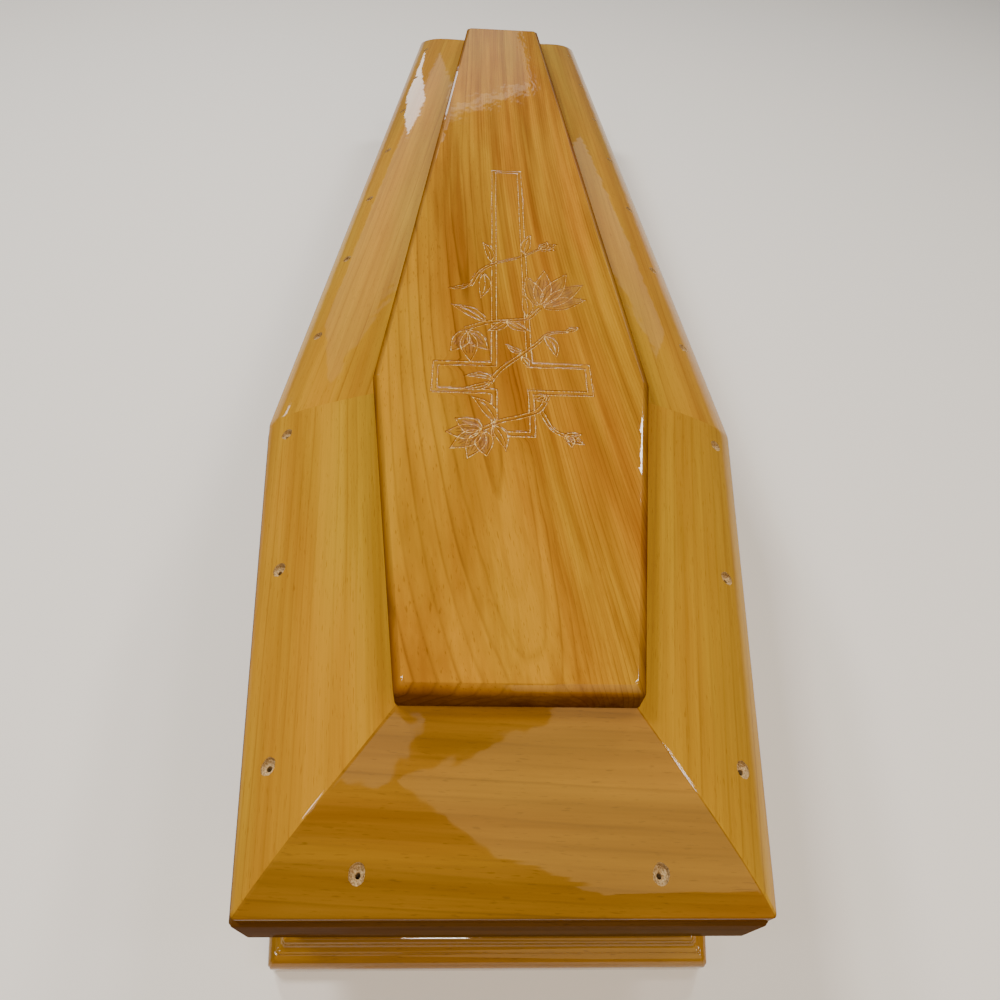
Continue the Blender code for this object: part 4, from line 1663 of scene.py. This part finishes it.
def crooked(local):
    """Places in the crooked log, x up the board, y to its left and z up."""
    run = local[:, 0]
    dip = HEART_DEPTH + HEART_DIP * np.exp((panel_low.y - run) / DIP_LENGTH)
    bend = np.log1p(np.exp((DRIFT_FROM - run) / DRIFT_TURN))
    aside = local[:, 1] + (HEART_DRIFT * DRIFT_TURN * bend - DRIFT_AT_REST)
    crowd = RINGS_CROWD * np.minimum(0, aside - CROWD_FROM)
    spread = RINGS_SPREAD * np.maximum(0, aside - SPREAD_FROM)
    return np.stack([run, aside + crowd - spread, local[:, 2] + dip], axis=1)


middle = (PANEL_CENTRE.x, 0, panel_high.z)
write_wood(panel, middle, LENGTHWAYS, (UP_ITS_LOG, 0.0, 0.0), crook=crooked)
print("The heart lies", round(HEART_DEPTH * 1000), "mm or more under the face")

# %% [markdown]
# The bevel and the sawn edge drank the lacquer, and they are darkened, partly by
# the stain that they drank and partly as painted shade, more so from the face
# down. The piece is shaded as the others are, and then the carved face is
# given the normals that were measured above.

# %% Finish the top board
BEVEL_FADE = 0.0045

write_share(panel, "edge", (panel_high.z - heights(panel)) / BEVEL_FADE)
finish_piece("lid_top_panel", panel, [TOP_WOOD], "lid_wood")
loops = np.zeros(len(panel.loops) * 3, dtype=np.float32)
panel.corner_normals.foreach_get("vector", loops)
loops = loops.reshape(-1, 3)
owners = np.zeros(len(panel.loops), dtype=np.int32)
panel.loops.foreach_get("vertex_index", owners)
on_face = np.arange(len(panel.loops)) < 3 * len(triangles)
loops[on_face] = normals[owners[on_face]]
uncut = np.repeat(untouched_triangles(), 3)
loops[:len(uncut)][uncut] = (0, 0, 1)
panel.normals_split_custom_set(loops.tolist())
print("Triangles of the face that no cut touches:", int(uncut.sum() / 3))

# %% [markdown]
# ## Torn fibres
#
# Each counterbore's floor bristles with short fibres that the drill pulled up.
# They repeat, so a Geometry Nodes tree sets them: a ring of little splinters on
# each hole's centre, leaning and scaled at random with a fixed seed. The tree's
# named inputs are set by their identifiers, and its result is kept as a mesh.

# %% Named inputs for the tree


def name_inputs(tree):
    """Give the tree a geometry in and out, and named inputs for its sizes."""
    face = tree.interface
    face.new_socket("Geometry", in_out="INPUT", socket_type="NodeSocketGeometry")
    for name in ("Ring radius", "Fibre length", "Fibre width"):
        face.new_socket(name, in_out="INPUT", socket_type="NodeSocketFloat")
    face.new_socket("Fibres", in_out="INPUT", socket_type="NodeSocketInt")
    face.new_socket("Geometry", in_out="OUTPUT", socket_type="NodeSocketGeometry")
    return [item.name for item in face.items_tree if item.in_out == "INPUT"]


trial = bpy.data.node_groups.new("trial", "GeometryNodeTree")
print("Inputs of the tree:", name_inputs(trial))
bpy.data.node_groups.remove(trial)

# %% A tree that sets a ring of splinters on each point
FIBRE_SIDES = 5
FIBRE_TIP = 0.0001
SHORTEST_FIBRE = 0.4
LONGEST_FIBRE = 1.2
# In radians: how far a fibre leans and turns, and how far a hole's whole ring turns.
LEANS_LEAST = (-1.0, -1.0, 0.0)
LEANS_MOST = (1.0, 1.0, 6.0)
RING_TURNS_MOST = (0.0, 0.0, 6.28)


def splinter_tree():
    """Geometry Nodes: splinters round each point, realised, in raw wood."""
    tree = bpy.data.node_groups.new("torn_fibres", "GeometryNodeTree")
    name_inputs(tree)
    given = add_node(tree, "NodeGroupInput").outputs
    fibre = add_node(
        tree, "GeometryNodeMeshCone",
        {
            "Vertices": FIBRE_SIDES, "Radius Top": FIBRE_TIP,
            "Radius Bottom": given["Fibre width"], "Depth": given["Fibre length"],
        },
    )
    ring = add_node(
        tree, "GeometryNodeMeshCircle",
        {"Radius": given["Ring radius"], "Vertices": given["Fibres"]},
    )
    turn = add_node(
        tree, "FunctionNodeRandomValue",
        {0: LEANS_LEAST, 1: LEANS_MOST, "Seed": 3}, data_type="FLOAT_VECTOR",
    )
    grow = add_node(
        tree, "FunctionNodeRandomValue",
        {2: SHORTEST_FIBRE, 3: LONGEST_FIBRE, "Seed": 4}, data_type="FLOAT",
    )
    bristles = add_node(
        tree, "GeometryNodeInstanceOnPoints",
        {
            "Points": ring.outputs[0], "Instance": fibre.outputs[0],
            "Rotation": turn.outputs[0], "Scale": grow.outputs[1],
        },
    )
    spin = add_node(
        tree, "FunctionNodeRandomValue",
        {0: (0.0, 0.0, 0.0), 1: RING_TURNS_MOST, "Seed": 5}, data_type="FLOAT_VECTOR",
    )
    holes = add_node(
        tree, "GeometryNodeInstanceOnPoints",
        {
            "Points": given["Geometry"], "Instance": bristles.outputs[0],
            "Rotation": spin.outputs[0],
        },
    )
    real = add_node(tree, "GeometryNodeRealizeInstances", {0: holes.outputs[0]})
    dressed = add_node(
        tree, "GeometryNodeSetMaterial", {"Geometry": real.outputs[0], "Material": RAW_WOOD}
    )
    add_node(tree, "NodeGroupOutput", {"Geometry": dressed.outputs[0]})
    return tree


SPLINTERS = splinter_tree()
print("The tree of splinters has", len(SPLINTERS.nodes), "nodes")

# %% Set the splinters in every hole
FIBRE_LIFT = 0.0008
FIBRE_SIZES = {
    "Ring radius": COUNTERBORE_RADIUS * 0.72, "Fibre length": 0.0030, "Fibre width": 0.0005,
    "Fibres": 18,
}


def torn_fibres():
    """One mesh of all the splinters, on the counterbores' floors."""
    points = bpy.data.meshes.new("hole_centres")
    height = slope_height(SCREW_INSET) - COUNTERBORE_DEPTH + FIBRE_LIFT
    centres = []
    for side in range(len(SIDES)):
        centres += [(p.x, p.y, height) for p in screw_places(side)]
    points.from_pydata(centres, [], [])
    carrier = bpy.data.objects.new("hole_centres", points)
    bpy.context.scene.collection.objects.link(carrier)
    modifier = carrier.modifiers.new("torn fibres", "NODES")
    modifier.node_group = SPLINTERS
    for item in SPLINTERS.interface.items_tree:
        if item.in_out == "INPUT" and item.name in FIBRE_SIZES:
            modifier[item.identifier] = FIBRE_SIZES[item.name]
    graph = bpy.context.evaluated_depsgraph_get()
    mesh = bpy.data.meshes.new_from_object(carrier.evaluated_get(graph))
    bpy.data.objects.remove(carrier)
    piece = bpy.data.objects.new("torn_fibres", mesh)
    bpy.context.scene.collection.objects.link(piece)
    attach(piece, "root")
    return piece


splinters = torn_fibres()
print("Splinters:", len(splinters.data.polygons), "faces")

# %% [markdown]
# ## The studio
#
# Gloss is only seen by what it reflects. A big light straight above the lid
# would show as a white sheet in its flat top board, so the soft lights stand
# where no flat face mirrors them to the camera: two high up on each side, and one
# above the head end, which also lights the plinth. They show as thin highlights
# on the rounded edges. Two small ones beyond the head end, one on each side, only
# draw a bright line along the ridges where the head board meets its neighbours.

# %% The floor
FLOOR_HALF = 9.0
FLOOR_CLEARANCE = 0.0005
FLOOR_PAINT = "F6F5F3"
FLOOR_ROUGHNESS = 0.8


def pale_floor():
    """Large plain pale floor, matt, so that it takes a soft shadow and mirrors nothing."""
    mesh = bpy.data.meshes.new("studio_floor")
    h = FLOOR_HALF
    mesh.from_pydata([(-h, -h, 0), (h, -h, 0), (h, h, 0), (-h, h, 0)], [], [(0, 1, 2, 3)])
    material = bpy.data.materials.new("pale_studio_floor")
    material.use_nodes = True
    shader = material.node_tree.nodes["Principled BSDF"]
    shader.inputs["Base Color"].default_value = colour(FLOOR_PAINT)
    shader.inputs["Roughness"].default_value = FLOOR_ROUGHNESS
    mesh.materials.append(material)
    floor_object = bpy.data.objects.new("studio_floor", mesh)
    floor_object.location.z = -FLOOR_CLEARANCE
    bpy.context.scene.collection.objects.link(floor_object)


pale_floor()
print("The floor is", FLOOR_HALF * 2, "m square")

# %% Soft lights


def soft_light(name, place, target, size, power, tint, roll=0.0):
    """Rectangular soft light aimed at a point. roll turns it about its own aim."""
    data = bpy.data.lights.new(name, "AREA")
    data.shape = "RECTANGLE"
    data.size, data.size_y = size
    data.energy = power
    data.color = colour(tint)[:3]
    light = bpy.data.objects.new(name, data)
    light.location = place
    aim = Vector(target) - Vector(place)
    turn = aim.to_track_quat("-Z", "Y") @ Quaternion((0, 0, 1), roll)
    light.rotation_euler = turn.to_euler()
    bpy.context.scene.collection.objects.link(light)


HEAD_END = (0.0, -0.3, 0.3)
FOOT_END = (0.0, 0.6, 0.3)
soft_light("high_left_head", (-1.5, 0.0, 3.6), HEAD_END, (0.55, 0.6), 60, "FFFAF2")
soft_light("high_left_foot", (-2.15, 1.9, 3.6), FOOT_END, (0.55, 0.6), 68, "FFFAF2")
soft_light("high_right_head", (1.5, 0.0, 3.6), HEAD_END, (0.4, 0.5), 18, "FFFAF2")
soft_light("high_right_foot", (2.15, 1.9, 3.6), FOOT_END, (0.55, 0.55), 43, "FFFAF2")
soft_light("above_head_end", (-0.1, -1.35, 3.1), (0, -0.9, 0.2), (0.24, 0.3), 28, "FFFAF2")
soft_light("ridge_left", (-2.3, -1.25, 3.1), (-0.2, -0.8, 0.3), (0.3, 0.3), 7, "FFFFFF")
soft_light("ridge_right", (2.3, -1.25, 3.1), (0.2, -0.8, 0.3), (0.3, 0.3), 8, "FFFFFF")

# %% [markdown]
# The slopes do mirror what stands low beyond the foot end and what hangs behind
# the camera. Their soft patches tell the eye that the lacquer is thick, so large
# dim cards are set just there, and two small bright ones, like windows. The far
# card and the strip over it are rolled a little, so that the haze that they lay
# on the far end of the top board stops along a slanting line.

# %% Cards for the lacquer to mirror
WORLD_COLOUR = "F4F3F1"
WORLD_STRENGTH = 0.16

soft_light("window", (-1.95, 5.2, 1.05), (-0.2, 0.5, 0.33), (0.45, 1.0), 5, "FFFFFF")
soft_light("window_low", (-3.45, 2.0, 0.67), (-0.3, -0.45, 0.32), (0.35, 0.22), 1.2, "FFFFFF")
soft_light("card_left", (-2.44, 4.17, 1.97), (-0.2, 0.0, 0.34), (2.9, 1.6), 7, "FFE9E2")
soft_light("card_right", (2.88, 4.08, 1.73), (0.2, 0.1, 0.35), (2.1, 0.75), 2.6, "EDF0E6")
soft_light("card_far", (-0.48, 5.2, 2.12), (0, 0.5, 0.4), (1.6, 1.25), 3.7, "FFF0E0", 0.3)
soft_light("strip_far", (-0.28, 5.2, 2.76), (0, 0.5, 0.4), (1.6, 0.1), 0.4, "FFF4DC", 0.3)
soft_light("card_behind_right", (1.15, -2.6, 2.6), (0.1, -0.9, 0.34), (2.3, 2.7), 40, "FFD28E")
soft_light("card_behind_left", (-0.55, -1.9, 3.1), (-0.12, -0.85, 0.36), (0.5, 0.5), 1.0, "FFEBC4")
world = bpy.data.worlds.new("studio_world")
world.use_nodes = True
world.node_tree.nodes["Background"].inputs["Color"].default_value = colour(WORLD_COLOUR)
world.node_tree.nodes["Background"].inputs["Strength"].default_value = WORLD_STRENGTH
bpy.context.scene.world = world
